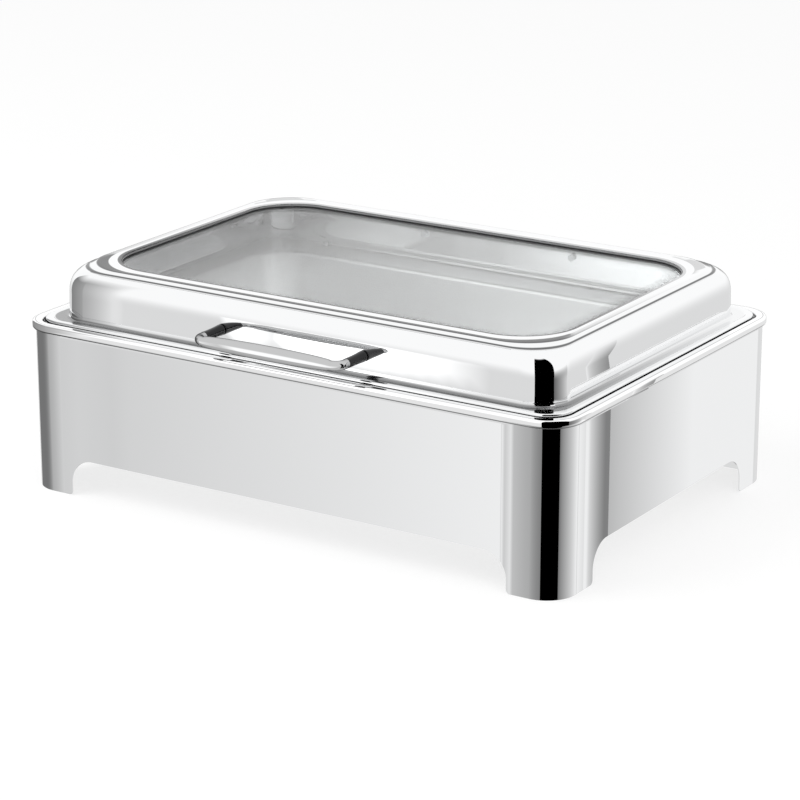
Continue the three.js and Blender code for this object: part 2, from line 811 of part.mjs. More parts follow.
// The grip: slim legs that bend into a bar that swells towards its middle.
function buildHandle() {
  const collarEnd = -handleFoot - collarLength;
  const centreX = handleSpan / 2 - handleBend;
  const path = [[handleSpan / 2, collarEnd - gap, 0]];
  for (let step = 0; step <= archSteps; step += 1) {
    const angle = (step / archSteps) * Math.PI / 2;
    const x = centreX + handleBend * Math.cos(angle);
    path.push([x, handleY + handleBend - handleBend * Math.sin(angle), angle]);
  }
  barShares.forEach((share) => path.push([centreX * share, handleY, Math.PI / 2]));
  const swell = (x) => Math.cos(Math.min(Math.abs(x) / centreX, 1) * Math.PI / 2) ** swellPower;
  const section = ([x, y, angle]) => {
    const grow = swell(x);
    const across = handleEndRadius + (handleMidDepth - handleEndRadius) * grow;
    const tall = handleEndRadius + (handleMidHeight - handleEndRadius) * grow;
    return arc([0, 0], 1, 0, 360, smallSides).slice(0, smallSides).map(([a, b]) => (
      new THREE.Vector3(x + across * a * Math.cos(angle), y - across * a * Math.sin(angle), tall * b)
    ));
  };
  const right = path.map(section);
  const left = path.slice(0, -1).reverse().map(section).map((loop) => (
    loop.map((point) => new THREE.Vector3(-point.x, point.y, point.z))
  ));
  const bar = skin([...right, ...left], false).translate(0, 0, handleZ);
  piece('handle_bar', bar, polishedSteel, lid);

  const shank = wallHalf[1] + collarLength / 2;
  handlePlaces.forEach((x, side) => {
    const collar = turnedBack([
      [0, collarEnd],
      [collarNeck * collarTipShare, collarEnd],
      [collarNeck, collarEnd + collarNeck * bendShare],
      [collarBase, -handleFoot - collarBase * collarFlareShare],
      [collarBase, -handleFoot],
      [0, -handleFoot],
    ], x, handleZ, turnedSides);
    const bore = rodBack(screwRadius + gap, -shank - gap, -handleFoot + overrun, x, handleZ);
    piece(`handle_collar_${sides[side]}`, cut(collar, bore), polishedSteel, lid);
  });

  const insideFace = -wallHalf[1] + sheet + gap;
  const washerBack = insideFace + panSheet;
  handlePlaces.forEach((x, side) => {
    const washer = rodBack(screwHeadRadius * washerShare, insideFace, washerBack, x, handleZ, turnedSides);
    const screw = screwBack(x, handleZ, washerBack, -shank);
    piece(`handle_screw_${sides[side]}`, join(washer, screw), zinc, lid);
  });
}

function buildBumpers() {
  const inset = -lidWallInset / 3;
  fourCorners.forEach(([signX, signY], index) => {
    const x = signX * wallHalf[0] * bumperPlaceShare;
    const y = signY * (wallHalf[1] - inset);
    const bumper = rodUp(bumperRadius, waterFlangeTop + gap, lidFlangeTop - sheet - gap, x, y);
    piece(`lid_bumper_${index + 1}`, bumper, paleRubber, lid);
  });
}

// Brackets on the rear wall, leaves on the lid and the pins between them
function buildHinges() {
  const armOutside = hingeY + bracketSheet / 2;
  const armInside = hingeY - bracketSheet / 2;
  const jogLow = bracketTop - (armInside - bracketInside) - bracketSheet;
  const bracketLow = bracketTop - bracketDrop;
  hingePlaces.forEach((place, side) => {
    const hand = sides[side];
    const left = place - bracketWidth / 2;
    const right = place + bracketWidth / 2;
    const strip = shapeOf([
      [bracketInside, bracketLow],
      [bracketInside + bracketSheet, bracketLow],
      [bracketInside + bracketSheet, jogLow],
      [armOutside, jogLow + armInside - bracketInside],
      [armOutside, hingeZ - knuckleRadius - gap],
      [armInside, hingeZ - knuckleRadius - gap],
      [armInside, jogLow + armInside - bracketInside + bracketSheet / 2],
      [bracketInside, jogLow + bracketSheet / 2],
    ]);
    const ear = shapeOf([
      [armInside, hingeZ - knuckleRadius * 2],
      [armOutside, hingeZ - knuckleRadius * 2],
      ...arc([hingeY, hingeZ], knuckleRadius, -earDegrees, 180 + earDegrees, knuckleSteps),
    ]);
    const bore = rodAcross(pinRadius + gap, left - overrun, right + overrun, hingeY, hingeZ);
    const holes = bracketScrews.map(([x, z]) => (
      rodBack(screwRadius + gap, bracketInside - overrun, bracketInside + overrun, x, z)
    ));
    const bracket = cut(
      join(
        alongX(strip, left, right),
        alongX(ear, left, left + earWidth),
        alongX(ear, right - earWidth, right),
      ),
      bore,
      ...holes,
    );
    piece(`hinge_bracket_${hand}`, bracket, satinSteel);

    const leafLeft = left + earWidth + gap;
    const leafRight = right - earWidth - gap;
    const plateOut = leafInside + bracketSheet;
    const leaf = shapeOf([
      [leafInside, hingeZ - leafArm / 2],
      ...arc([hingeY, hingeZ], knuckleRadius, 180 + leafDegrees, 540 - leafDegrees, knuckleSteps),
      [plateOut, hingeZ + leafArm / 2],
      [plateOut, leafTop],
      [leafInside, leafTop],
    ]);
    const boltHole = rodBack(screwRadius + gap, leafInside - overrun, plateOut + overrun, place, leafBoltZ);
    const leafSolid = cut(alongX(leaf, leafLeft, leafRight), bore, boltHole);
    piece(`hinge_leaf_${hand}`, leafSolid, satinSteel, lid);

    const pin = turned([
      [0, left - gap - pinRadius],
      [pinHead, left - gap - pinRadius],
      [pinHead, left - gap],
      [pinRadius, left - gap],
      [pinRadius, right + pinRadius],
      [0, right + pinRadius],
    ]).rotateZ(-Math.PI / 2).translate(0, hingeY, hingeZ);
    piece(`hinge_pin_${hand}`, pin, zinc);
  });

  const nutFace = wallHalf[1] - sheet - gap - lidFlare;
  const boltFace = leafInside + bracketSheet + gap;
  hingePlaces.forEach((x, side) => {
    piece(`hinge_bolt_${sides[side]}`, boltBack(x, leafBoltZ, boltFace, nutFace), zinc, lid);
  });
  const screwFace = bracketInside + bracketSheet + gap;
  bracketScrews.forEach(([x, z], index) => {
    const screw = boltBack(x, z, screwFace, wallInside - sheet - 2 * gap);
    piece(`bracket_screw_${index + 1}`, screw, zinc);
  });
}

// Heater plate, tubular element, clamps and the tray that covers them
function buildHeater() {
  const plateBottom = heaterTop - plateThickness;
  const elementZ = plateBottom - gap - elementRadius;
  const clampTop = elementZ - elementRadius - gap;
  const clampBottom = clampTop - clampThickness;
  const nutTop = clampBottom - gap;
  const studBottom = nutTop - nutHeight - gap;
  const trayFloorTop = studBottom - trayClearance;
  const loopX = plateLength / 2 - elementInset;
  const loopY = plateWidth / 2 - elementInset;
  const endY = plateWidth / 2 + elementTail;
  const elementBow = elementBend * bendShare;
  const half = [
    [elementEndSpread, endY],
    [elementEndSpread, (endY + loopY) / 2],
    [elementEndSpread, loopY + elementBend],
    [elementEndSpread + elementBow, loopY + elementBow],
    [elementEndSpread + elementBend, loopY],
    [loopX - elementBend, loopY],
    [loopX - elementBow, loopY - elementBow],
    [loopX, loopY - elementBend],
    [loopX, 0],
    [loopX, elementBend - loopY],
    [loopX - elementBow, elementBow - loopY],
    [loopX - elementBend, -loopY],
    [loopX / 2, -loopY],
  ];
  const mirrored = half.map(([x, y]) => [-x, y]).reverse();
  const path = [...half, ...mirrored].map(([x, y]) => [x, y, elementZ]);
  const elementEnds = [-elementEndSpread, elementEndSpread];
  const terminals = elementEnds.map((x) => (
    rodBack(terminalRadius, endY - overrun, endY + terminalLength, x, elementZ, studSides)
  ));
  const element = wire(path, elementRadius, elementSteps, elementSides);
  piece('heating_element', join(element, ...terminals), satinSteel);

  const clampX = [-clampSpread, clampSpread];
  const clampLength = plateWidth - elementInset;
  const studY = (loopY - elementRadius - gap) / 2;
  const studPlaces = clampX.flatMap((x) => [[x, -studY], [x, studY]]);
  clampX.forEach((x, side) => {
    const strip = alongZ(boxShape(clampWidth, clampLength, x, 0), clampBottom, clampTop);
    const holes = studPlaces.map(([studX, y]) => (
      rodUp(screwRadius + gap, clampBottom - gap, clampTop + gap, studX, y)
    ));
    piece(`element_clamp_${sides[side]}`, cut(strip, ...holes), satinSteel);
  });
  const plate = alongZ(plateShape(plateLength, plateWidth, plateCorner), plateBottom, heaterTop);
  const clampStuds = studPlaces.map(([x, y]) => capStud(screwRadius, heaterTop - gap, nutTop, x, y));
  piece('heater_plate', join(plate, ...clampStuds), aluminium);

  const trayCorner = plateCorner + trayMargin;
  const tray = skin([
    ring(trayHalf, 0, trayCorner, trayFloorTop),
    ring(trayHalf, 0, trayCorner, heaterTop),
    ring(trayHalf, -trayFlange, trayCorner + trayFlange, heaterTop),
    ring(trayHalf, -trayFlange, trayCorner + trayFlange, heaterTop - sheet),
    ring(trayHalf, -sheet, trayCorner + sheet, heaterTop - sheet),
    ring(trayHalf, -sheet, trayCorner + sheet, trayFloorTop - sheet),
  ], false);
  const passages = elementEnds.map((x) => (
    rodBack(elementRadius + passageClearance, trayHalf[1] - overrun, trayHalf[1] + overrun, x, elementZ)
  ));
  const studHoles = shieldPlaces.map(([x, y]) => (
    rodUp(screwRadius + gap, heaterTop - overrun, heaterTop + overrun, x, y)
  ));
  piece('heat_shield', cut(tray, ...passages, ...studHoles), satinSteel);

  const cutoutBottom = heaterTop - cutoutHeight;
  const cutout = rodUp(cutoutRadius, cutoutBottom, heaterTop, ...cutoutPlace, turnedSides);
  piece('thermal_cutout', cutout, blackPlastic);
  const bulbZ = heaterTop - bulbRadius;
  const bulb = rodBack(bulbRadius, -bulbLength / 2, bulbLength / 2, bulbPlace, bulbZ);
  piece('thermostat_bulb', bulb, copper);
  const strapLow = heaterTop - 2 * bulbRadius - gap;
  const strap = shapeOf([
    [-strapSide - sheet - strapWidth, heaterTop - sheet],
    [-strapSide - sheet, heaterTop - sheet],
    [-strapSide - sheet, strapLow - sheet],
    [strapSide + sheet, strapLow - sheet],
    [strapSide + sheet, heaterTop - sheet],
    [strapSide + sheet + strapWidth, heaterTop - sheet],
    [strapSide + sheet + strapWidth, heaterTop],
    [strapSide, heaterTop],
    [strapSide, strapLow],
    [-strapSide, strapLow],
    [-strapSide, heaterTop],
    [-strapSide - sheet - strapWidth, heaterTop],
  ]);
  const strapSolid = alongY(strap, -strapWidth / 2, strapWidth / 2).translate(bulbPlace, 0, 0);
  piece('bulb_strap', strapSolid, satinSteel);
  return { elementZ, terminalEnd: endY + terminalLength, elementEnds, cutoutBottom, bulbZ };
}

function buildControlBox() {
  const face = plateShape(panelLength, panelHeight, panelCorner, 0, panelRise);
  const through = [panelInside - overrun, panelBack + overrun];
  const panelHoles = [
    alongY(boxShape(inletWidth + 2 * gap, inletHeight + 2 * gap, inletPlace, panelRise), ...through),
    alongY(boxShape(switchWidth + 2 * gap, switchHeight + 2 * gap, switchPlace, panelRise), ...through),
    rodBack(lampRadius + gap, ...through, lampPlace, panelRise),
    rodBack(bushRadius + gap, ...through, knobPlace, panelRise, turnedSides),
    ...panelScrews.map(([x, z]) => rodBack(screwRadius + gap, ...through, x, z)),
  ];
  piece('control_panel', cut(alongY(face, panelInside, panelBack), ...panelHoles), satinSteel);

  const boxOutside = boxShape(2 * boxWallHalf[0], 2 * boxWallHalf[1], 0, panelRise);
  const boxInside = boxShape(2 * (boxWallHalf[0] - sheet), 2 * (boxWallHalf[1] - sheet), 0, panelRise);
  const flange = boxShape(2 * boxFlangeHalf[0], 2 * boxFlangeHalf[1], 0, panelRise);
  const grommetY = (boxFront + boxBack) / 2;
  const neck = grommetRadius - grommetLip;
  const box = cut(
    join(alongY(boxOutside, boxFront, boxBack), alongY(flange, boxBack - sheet, boxBack)),
    alongY(boxInside, boxFront + sheet, boxBack + overrun),
    rodUp(neck + gap, boxBottom - overrun, boxBottom + overrun, 0, grommetY, turnedSides),
    ...panelScrews.map(([x, z]) => rodBack(screwRadius + gap, boxBack - overrun, boxBack + overrun, x, z)),
  );
  piece('control_box', box, satinSteel);

  const grommet = turnedUp([
    [grommetHole, boxBottom - gap - grommetLip],
    [grommetRadius, boxBottom - gap - grommetLip],
    [grommetRadius, boxBottom - gap],
    [neck, boxBottom - gap],
    [neck, boxBottom + sheet + gap],
    [grommetRadius, boxBottom + sheet + gap],
    [grommetRadius, boxBottom + sheet + gap + grommetLip],
    [grommetHole, boxBottom + sheet + gap + grommetLip],
    [grommetHole, boxBottom - gap - grommetLip],
  ], 0, grommetY, turnedSides);
  piece('cable_grommet', grommet, darkRubber);

  panelScrews.forEach(([x, z], index) => {
    piece(`panel_screw_${index + 1}`, boltBack(x, z, panelBack + gap, boxBack - sheet - gap), zinc);
  });
  return { grommetY };
}

function buildInlet() {
  const flangeFace = panelBack + gap;
  const socketFloor = flangeFace + inletFlangeHeight - socketDepth;
  const socketHalf = [inletWidth / 2 - socketWall, inletHeight / 2 - socketWall];
  const socket = shapeOf([
    [-socketHalf[0], -socketHalf[1]],
    [socketHalf[0], -socketHalf[1]],
    [socketHalf[0], socketHalf[1] - socketChamfer],
    [socketHalf[0] - socketChamfer, socketHalf[1]],
    [socketChamfer - socketHalf[0], socketHalf[1]],
    [-socketHalf[0], socketHalf[1] - socketChamfer],
  ]);
  const flangeWidth = inletWidth + 2 * inletFlange;
  const flangeHeight = inletHeight + 2 * inletFlange;
  const flange = plateShape(flangeWidth, flangeHeight, inletFlange, inletPlace, panelRise);
  const body = boxShape(inletWidth, inletHeight, inletPlace, panelRise);
  const bodyFront = flangeFace - inletDepth;
  const inlet = cut(
    join(
      alongY(flange, flangeFace, flangeFace + inletFlangeHeight),
      alongY(body, bodyFront, flangeFace + inletFlangeHeight / 2),
    ),
    alongY(socket, socketFloor, panelBack + 2 * overrun).translate(inletPlace, 0, panelRise),
  );
  const drop = inletPinSpread / 3;
  const pinPlaces = [[0, drop], [-inletPinSpread, -drop], [inletPinSpread, -drop]];
  const pins = pinPlaces.map(([x, z]) => alongY(
    boxShape(inletPinWidth, inletPinHeight, inletPlace + x, panelRise + z),
    socketFloor - socketWall,
    socketFloor + inletPinLength,
  ));
  piece('power_inlet', join(inlet, ...pins), blackPlastic);
  return { inletRear: bodyFront };
}

function buildSwitch() {
  const bezelFace = panelBack + gap;
  const bezelTop = bezelFace + bezelHeight;
  const bodyFront = bezelFace - switchDepth;
  const axisY = bezelTop - rockerSink;
  const sweep = Math.hypot(rockerHalfLength, rockerRise) + gap;
  const cavityHalf = [switchWidth / 2 - rockerWall, Math.min(sweep, switchHeight / 2 - rockerWall)];
  const cavityFloor = axisY - Math.hypot(rockerHalfLength * rockerRootShare, rockerRoot) - 2 * gap;
  const bezel = plateShape(
    switchWidth + 2 * bezelMargin, switchHeight + 2 * bezelMargin, bezelMargin, switchPlace, panelRise,
  );
  const body = boxShape(switchWidth, switchHeight, switchPlace, panelRise);
  const cavity = boxShape(2 * cavityHalf[0], 2 * cavityHalf[1], switchPlace, panelRise);
  const housing = cut(
    join(
      alongY(bezel, bezelFace, bezelTop),
      alongY(body, bodyFront, bezelFace + bezelHeight / 2),
    ),
    alongY(cavity, cavityFloor, bezelTop + overrun),
  );
  piece('switch_housing', housing, blackPlastic);
  const paddle = shapeOf([
    [-rockerRoot, -rockerHalfLength * rockerRootShare],
    [rockerDip, -rockerHalfLength],
    [rockerRise, -rockerHalfLength],
    [rockerDip, 0],
    [rockerRise, rockerHalfLength],
    [rockerDip, rockerHalfLength],
    [-rockerRoot, rockerHalfLength * rockerRootShare],
  ].reverse());
  const paddleHalf = cavityHalf[0] - gap;
  const rocker = piece('power_rocker', alongX(paddle, -paddleHalf, paddleHalf), redPlastic);
  rocker.position.set(switchPlace, axisY, panelRise);
  rocker.rotation.x = THREE.MathUtils.degToRad(-rockerTilt);
  return { switchRear: bodyFront };
}

function buildLamp() {
  const face = panelBack + gap;
  const top = face + lampBezelHeight;
  const dome = arc([0, top], 1, 0, 90, domeSteps).map(([x, y]) => (
    [x * lampRadius, top + (y - top) * lampDome]
  ));
  const lamp = turnedBack([
    [0, face - lampDepth],
    [lampRadius, face - lampDepth],
    [lampRadius, face],
    [lampBezel, face],
    [lampBezel, top],
    ...dome.slice(0, -1),
    [0, top + lampDome],
  ], lampPlace, panelRise, turnedSides);
  piece('pilot_lamp', lamp, redPlastic);
}

function buildThermostat() {
  const bodyBack = panelInside - gap;
  const bushEnd = panelBack + gap + bushReach;
  const shaftInner = bodyBack - shaftSeat;
  const body = cut(
    turnedBack([
      [0, bodyBack - thermostatDepth],
      [thermostatRadius, bodyBack - thermostatDepth],
      [thermostatRadius, bodyBack],
      [bushRadius, bodyBack],
      [bushRadius, bushEnd],
      [0, bushEnd],
    ], knobPlace, panelRise, turnedSides),
    rodBack(shaftRadius + gap, shaftInner - gap, bushEnd + overrun, knobPlace, panelRise, turnedSides),
  );
  piece('thermostat', body, blackPlastic);
  const nutFace = panelBack + gap;
  const nut = cut(
    rodBack(bushNutRadius, nutFace, nutFace + bushNutHeight, knobPlace, panelRise, nutSides),
    rodBack(bushRadius + gap, nutFace - overrun, nutFace + overrun, knobPlace, panelRise, turnedSides),
  );
  piece('thermostat_nut', nut, zinc);

  const knobFace = panelBack + gap + knobClearance;
  const knobTop = knobFace + knobHeight;
  const knobFloor = knobFace + knobRecessDepth;
  const shaftEnd = knobFloor + shaftGrip;
  const shaft = rodBack(shaftRadius, shaftInner, shaftEnd, knobPlace, panelRise, turnedSides);
  piece('thermostat_shaft', shaft, zinc);
  const fluted = [];
  const turns = knobFlutes * fluteSteps;
  for (let step = 0; step < turns; step += 1) {
    const angle = (step / turns) * 2 * Math.PI;
    const radius = knobGripRadius + fluteDepth * (Math.cos(angle * knobFlutes) - 1) / 2;
    fluted.push([knobPlace + radius * Math.sin(angle), panelRise + radius * Math.cos(angle)]);
  }
  const skirtTop = knobFace + knobSkirtHeight;
  const pointer = boxShape(pointerWidth, knobGripRadius, knobPlace, panelRise + knobGripRadius / 2);
  const knob = cut(
    join(
      turnedBack([
        [0, knobFace],
        [knobRadius - pointerDepth, knobFace],
        [knobRadius, knobFace + pointerDepth],
        [knobRadius, skirtTop - pointerDepth],
        [knobRadius - pointerDepth, skirtTop],
        [0, skirtTop],
      ], knobPlace, panelRise, roundSides),
      alongY(shapeOf(fluted.reverse()), skirtTop - pointerDepth, knobTop),
    ),
    rodBack(knobRecess, knobFace - overrun, knobFloor, knobPlace, panelRise, turnedSides),
    rodBack(shaftRadius + gap / 3, knobFloor - overrun, shaftEnd + gap, knobPlace, panelRise, turnedSides),
    alongY(pointer, knobTop - pointerDepth, knobTop + overrun),
  );
  piece('thermostat_knob', knob, blackPlastic);
  return { thermostatFront: bodyBack - thermostatDepth };
}

// Insulated wires in the control box and out to the heater, and the sensor's thin tube
function buildWiring(ends) {
  const { inletRear, switchRear, thermostatFront, grommetY, elementZ, terminalEnd, elementEnds } = ends;
  const { cutoutBottom, bulbZ } = ends;
  const clear = wireRadius + gap;
  const lane = (boxFront + inletRear) / 2;
  const upper = panelRise + wireRise;
  const lower = panelRise - wireRise;
  const intoBox = boxBottom + overrun / 2;
  const live = wire([
    [inletPlace, inletRear - gap, upper],
    [inletPlace, lane, upper],
    [(inletPlace + switchPlace) / 2, lane - clear, upper],
    [switchPlace, lane, upper],
    [switchPlace, switchRear - gap, upper],
  ], wireRadius);
  piece('wire_switch', live, brownWire);
  const switched = wire([
    [switchPlace + wireRise, switchRear - gap, lower],
    [switchPlace + wireRise, lane, lower],
    [(lampPlace + knobPlace) / 2, lane - clear, lower],
    [knobPlace, (lane + boxFront) / 2, lower],
    [knobPlace, thermostatFront - gap, lower],
  ], wireRadius);
  piece('wire_thermostat', switched, brownWire);

  const elementTip = terminalEnd + gap;
  const toHeater = wire([
    [knobPlace - wireRise, thermostatFront - gap, panelRise],
    [knobPlace - wireRise, lane, panelRise],
    [lampPlace + wireRise * 2, grommetY - clear * 2, panelRise - overrun],
    [wireApart * 2, grommetY, boxBottom + overrun * 2],
    [wireApart, grommetY, intoBox],
    [wireApart, grommetY, boxBottom - overrun],
    [elementEnds[1] / 2, grommetY, elementZ],
    [elementEnds[1], elementTip + clear * 2, elementZ],
    [elementEnds[1], elementTip, elementZ],
  ], wireRadius, wireSteps * 2);
  piece('wire_heater', toHeater, brownWire);
  const [cutoutX, cutoutY] = cutoutPlace;
  const neutral = wire([
    [inletPlace + inletPinSpread, inletRear - gap, lower],
    [inletPlace + inletPinSpread, lane + clear, lower],
    [switchPlace, lane + clear * 2, lower - overrun],
    [-wireApart * 2, grommetY, boxBottom + overrun * 2],
    [-wireApart, grommetY, intoBox],
    [-wireApart, grommetY, boxBottom - overrun],
    [elementEnds[0] / 2, grommetY - clear, elementZ - overrun],
    [cutoutX / 2, (cutoutY + grommetY) / 2, elementZ - overrun],
    [cutoutX - cutoutPinSpread, cutoutY, cutoutBottom - overrun],
    [cutoutX - cutoutPinSpread, cutoutY, cutoutBottom - gap],
  ], wireRadius, wireSteps * 2);
  piece('wire_neutral', neutral, blueWire);
  const fromCutout = wire([
    [cutoutX + cutoutPinSpread, cutoutY, cutoutBottom - gap],
    [cutoutX + cutoutPinSpread, cutoutY, cutoutBottom - wireRise],
    [(cutoutX + elementEnds[0]) / 2, elementTip - overrun, elementZ],
    [elementEnds[0] - overrun, elementTip + clear * 2, elementZ],
    [elementEnds[0], elementTip + clear * 2, elementZ],
    [elementEnds[0], elementTip, elementZ],
  ], wireRadius, wireSteps * 2);
  piece('wire_cutout', fromCutout, blueWire);

  const tubeY = grommetY + wireApart + clear / 2;
  const tubeFloor = boxBottom - overrun * 2;
  const tube = wire([
    [knobPlace, thermostatFront - gap, panelRise - thermostatRadius / 2],
    [knobPlace, lane, panelRise - thermostatRadius / 2],
    [(lampPlace + knobPlace) / 2, lane + clear, panelRise - thermostatRadius],
    [lampPlace, tubeY + clear, boxBottom + overrun * 2],
    [0, tubeY, boxBottom + overrun],
    [0, tubeY, boxBottom - overrun],
    [lampPlace + overrun, tubeY + clear, tubeFloor],
    [knobPlace, tubeY, tubeFloor],
    [plateLength / 2, (bulbLength + tubeY) / 2, tubeFloor + wireRise],
    [bulbPlace - overrun, bulbLength, bulbZ],
    [bulbPlace, bulbLength / 2 + overrun * 2, bulbZ],
    [bulbPlace, bulbLength / 2 + gap, bulbZ],
  ], capillaryRadius, wireSteps * 3);
  piece('sensor_tube', tube, copper);

  const studX = inletPlace - inletWidth / 2 - overrun;
  const studZ = boxBottom + sheet + gap;
  const stud = rodUp(screwRadius, studZ, studZ + earthStudLength, studX, grommetY);
  piece('earth_stud', stud, zinc);
  const earth = wire([
    [inletPlace - inletPinSpread, inletRear - gap, panelRise],
    [inletPlace - inletPinSpread, lane + clear, panelRise],
    [studX + wireRadius, grommetY - clear * 2, panelRise - overrun],
    [studX, grommetY, studZ + earthStudLength + gap + wireRadius],
  ], wireRadius);
  piece('wire_earth', earth, earthWire);
}

buildStand();
buildRim();
buildPans();
buildLidShell();
buildWindow();
buildHandle();
buildBumpers();
buildHinges();
const heater = buildHeater();
const box = buildControlBox();
const inlet = buildInlet();
const rockerSwitch = buildSwitch();
buildLamp();
const thermostat = buildThermostat();
buildWiring({ ...heater, ...box, ...inlet, ...rockerSwitch, ...thermostat });

// The origin lies on the floor under the middle of the whole object.
const frontReach = -handleY + handleMidDepth;
const backReach = panelBack + gap + knobClearance + knobHeight;
dish.position.y = (frontReach - backReach) / 2;

export default dish;
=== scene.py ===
"""Electric chafing dish: its looks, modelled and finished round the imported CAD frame."""

import json
import logging
import math
from collections.abc import Iterable
from dataclasses import dataclass, field
from enum import Enum

import bmesh
import bpy
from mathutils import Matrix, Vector


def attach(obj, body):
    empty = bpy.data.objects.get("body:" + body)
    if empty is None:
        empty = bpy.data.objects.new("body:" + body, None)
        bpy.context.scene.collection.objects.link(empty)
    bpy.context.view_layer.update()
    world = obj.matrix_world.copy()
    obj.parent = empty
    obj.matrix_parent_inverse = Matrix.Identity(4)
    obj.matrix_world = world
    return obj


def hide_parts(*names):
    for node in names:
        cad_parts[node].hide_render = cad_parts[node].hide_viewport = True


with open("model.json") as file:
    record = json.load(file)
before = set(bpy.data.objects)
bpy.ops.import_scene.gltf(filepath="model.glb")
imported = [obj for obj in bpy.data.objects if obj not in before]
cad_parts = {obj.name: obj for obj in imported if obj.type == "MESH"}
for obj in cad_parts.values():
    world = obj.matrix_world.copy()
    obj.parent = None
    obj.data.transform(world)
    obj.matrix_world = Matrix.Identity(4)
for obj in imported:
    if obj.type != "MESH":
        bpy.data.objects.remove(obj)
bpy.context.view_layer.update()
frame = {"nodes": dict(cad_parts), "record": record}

LOG = logging.getLogger("chafing_dish")
MM = 0.001
MIDDLE_Y = -0.35


class Body(Enum):
    """The rigid bodies that the modelled pieces ride on."""

    BASE = "base"
    LID = "lid"
    KNOB = "knob"


class Slot(Enum):
    """The record's material slots."""

    POLISHED = "polished_steel"
    SATIN = "satin_steel"
    PLATED = "plated_steel"
    ALUMINIUM = "cast_aluminium"
    COPPER = "bare_copper"
    GLASS = "clear_glass"
    DARK_RUBBER = "dark_rubber"
    PALE_RUBBER = "pale_rubber"
    BLACK = "black_plastic"
    RED = "red_plastic"
    BROWN_WIRE = "brown_wire"
    BLUE_WIRE = "blue_wire"
    EARTH_WIRE = "earth_wire"


# Shader wiring


class Wire:
    """A shader socket that takes part in plain arithmetic."""

    def __init__(self, net: "Net", socket: bpy.types.NodeSocket) -> None:
        """Keeps the socket and the net that it belongs to."""
        self.net, self.socket = net, socket

    def _join(self, operation: str, first: object, second: object) -> "Wire":
        """One Math node on two values."""
        return self.net.node("ShaderNodeMath", {"operation": operation}, {0: first, 1: second})

    def __add__(self, other: object) -> "Wire":
        """self + other."""
        return self._join("ADD", self, other)

    def __rsub__(self, other: object) -> "Wire":
        """other - self."""
        return self._join("SUBTRACT", other, self)

    def __mul__(self, other: object) -> "Wire":
        """self * other."""
        return self._join("MULTIPLY", self, other)

    __radd__ = __add__
    __rmul__ = __mul__

    def larger(self, other: object) -> "Wire":
        """The larger of two values."""
        return self._join("MAXIMUM", self, other)

    def step(self, low: float, high: float, start: float = 0.0, end: float = 1.0) -> "Wire":
        """A smooth change from start to end as the value goes from low to high.

        Args:
            low: the value at which the change begins.
            high: the value at which it is complete.
            start: what comes out up to low.
            end: what comes out from high.

        Returns:
            The changed value.
        """
        return self.net.node(
            "ShaderNodeMapRange",
            {"interpolation_type": "SMOOTHSTEP"},
            {"Value": self, "From Min": low, "From Max": high, "To Min": start, "To Max": end},
        )


class Net:
    """The node tree of one material or of the world."""

    def __init__(self, tree: bpy.types.NodeTree) -> None:
        """Empties the tree."""
        self.tree = tree
        tree.nodes.clear()

    def node(
        self,
        kind: str,
        settings: dict | None = None,
        inputs: dict | None = None,
        output: int | str = 0,
    ) -> Wire | None:
        """Adds a node.

        Args:
            kind: the node's type.
            settings: its properties, set first; "stops" are a ramp's (place, colour) pairs.
            inputs: values or wires by socket name or number.
            output: the socket that comes out.

        Returns:
            The chosen output, if the node has any.
        """
        made = self.tree.nodes.new(kind)
        for key, value in (settings or {}).items():
            if key == "stops":
                elements = made.color_ramp.elements
                while len(elements) < len(value):
                    elements.new(0.5)
                for element, (place, colour) in zip(elements, value):
                    element.position, element.color = place, colour
            else:
                setattr(made, key, value)
        for key, value in (inputs or {}).items():
            if isinstance(value, Wire):
                self.tree.links.new(value.socket, made.inputs[key])
            else:
                made.inputs[key].default_value = value
        return Wire(self, made.outputs[output]) if len(made.outputs) else None

    def stored(self, name: str) -> Wire:
        """A value that the mesh stores on its vertices."""
        return self.node("ShaderNodeAttribute", {"attribute_name": name}, output="Fac")

    def place(self) -> Wire:
        """Object coordinates."""
        return self.node("ShaderNodeTexCoord", output="Object")

    def noise(self, scale: float, detail: float = 2.0, stretch: tuple = (1, 1, 1)) -> Wire:
        """Noise on object coordinates.

        Args:
            scale: the noise's scale.
            detail: its octaves.
            stretch: factors on the three axes.

        Returns:
            The noise value.
        """
        spread = self.node("ShaderNodeMapping", None, {"Vector": self.place(), "Scale": stretch})
        return self.node(
            "ShaderNodeTexNoise", None, {"Vector": spread, "Scale": scale, "Detail": detail}
        )

    def mix(self, share: object, first: object, second: object) -> Wire:
        """A colour between two.

        Args:
            share: how much of the second colour.
            first: colour at share 0.
            second: colour at share 1.

        Returns:
            The mixed colour.
        """
        return self.node(
            "ShaderNodeMix",
            {"data_type": "RGBA"},
            {"Factor": share, 6: first, 7: second},
            output=2,
        )

    def blend(self, share: object, first: Wire, second: Wire) -> Wire:
        """A shader between two."""
        return self.node("ShaderNodeMixShader", None, {0: share, 1: first, 2: second})

    def bump(self, height: Wire, strength: float, distance: float) -> Wire:
        """A normal raised by a height."""
        return self.node(
            "ShaderNodeBump",
            None,
            {"Height": height, "Strength": strength, "Distance": distance},
        )


def rgb(red: float, green: float, blue: float) -> tuple[float, float, float, float]:
    """A colour with full alpha."""
    return (red, green, blue, 1.0)


def scaled(colour: tuple, factor: float) -> tuple[float, float, float, float]:
    """A colour made darker or lighter."""
    return (*(channel * factor for channel in colour[:3]), 1.0)


# Finishes


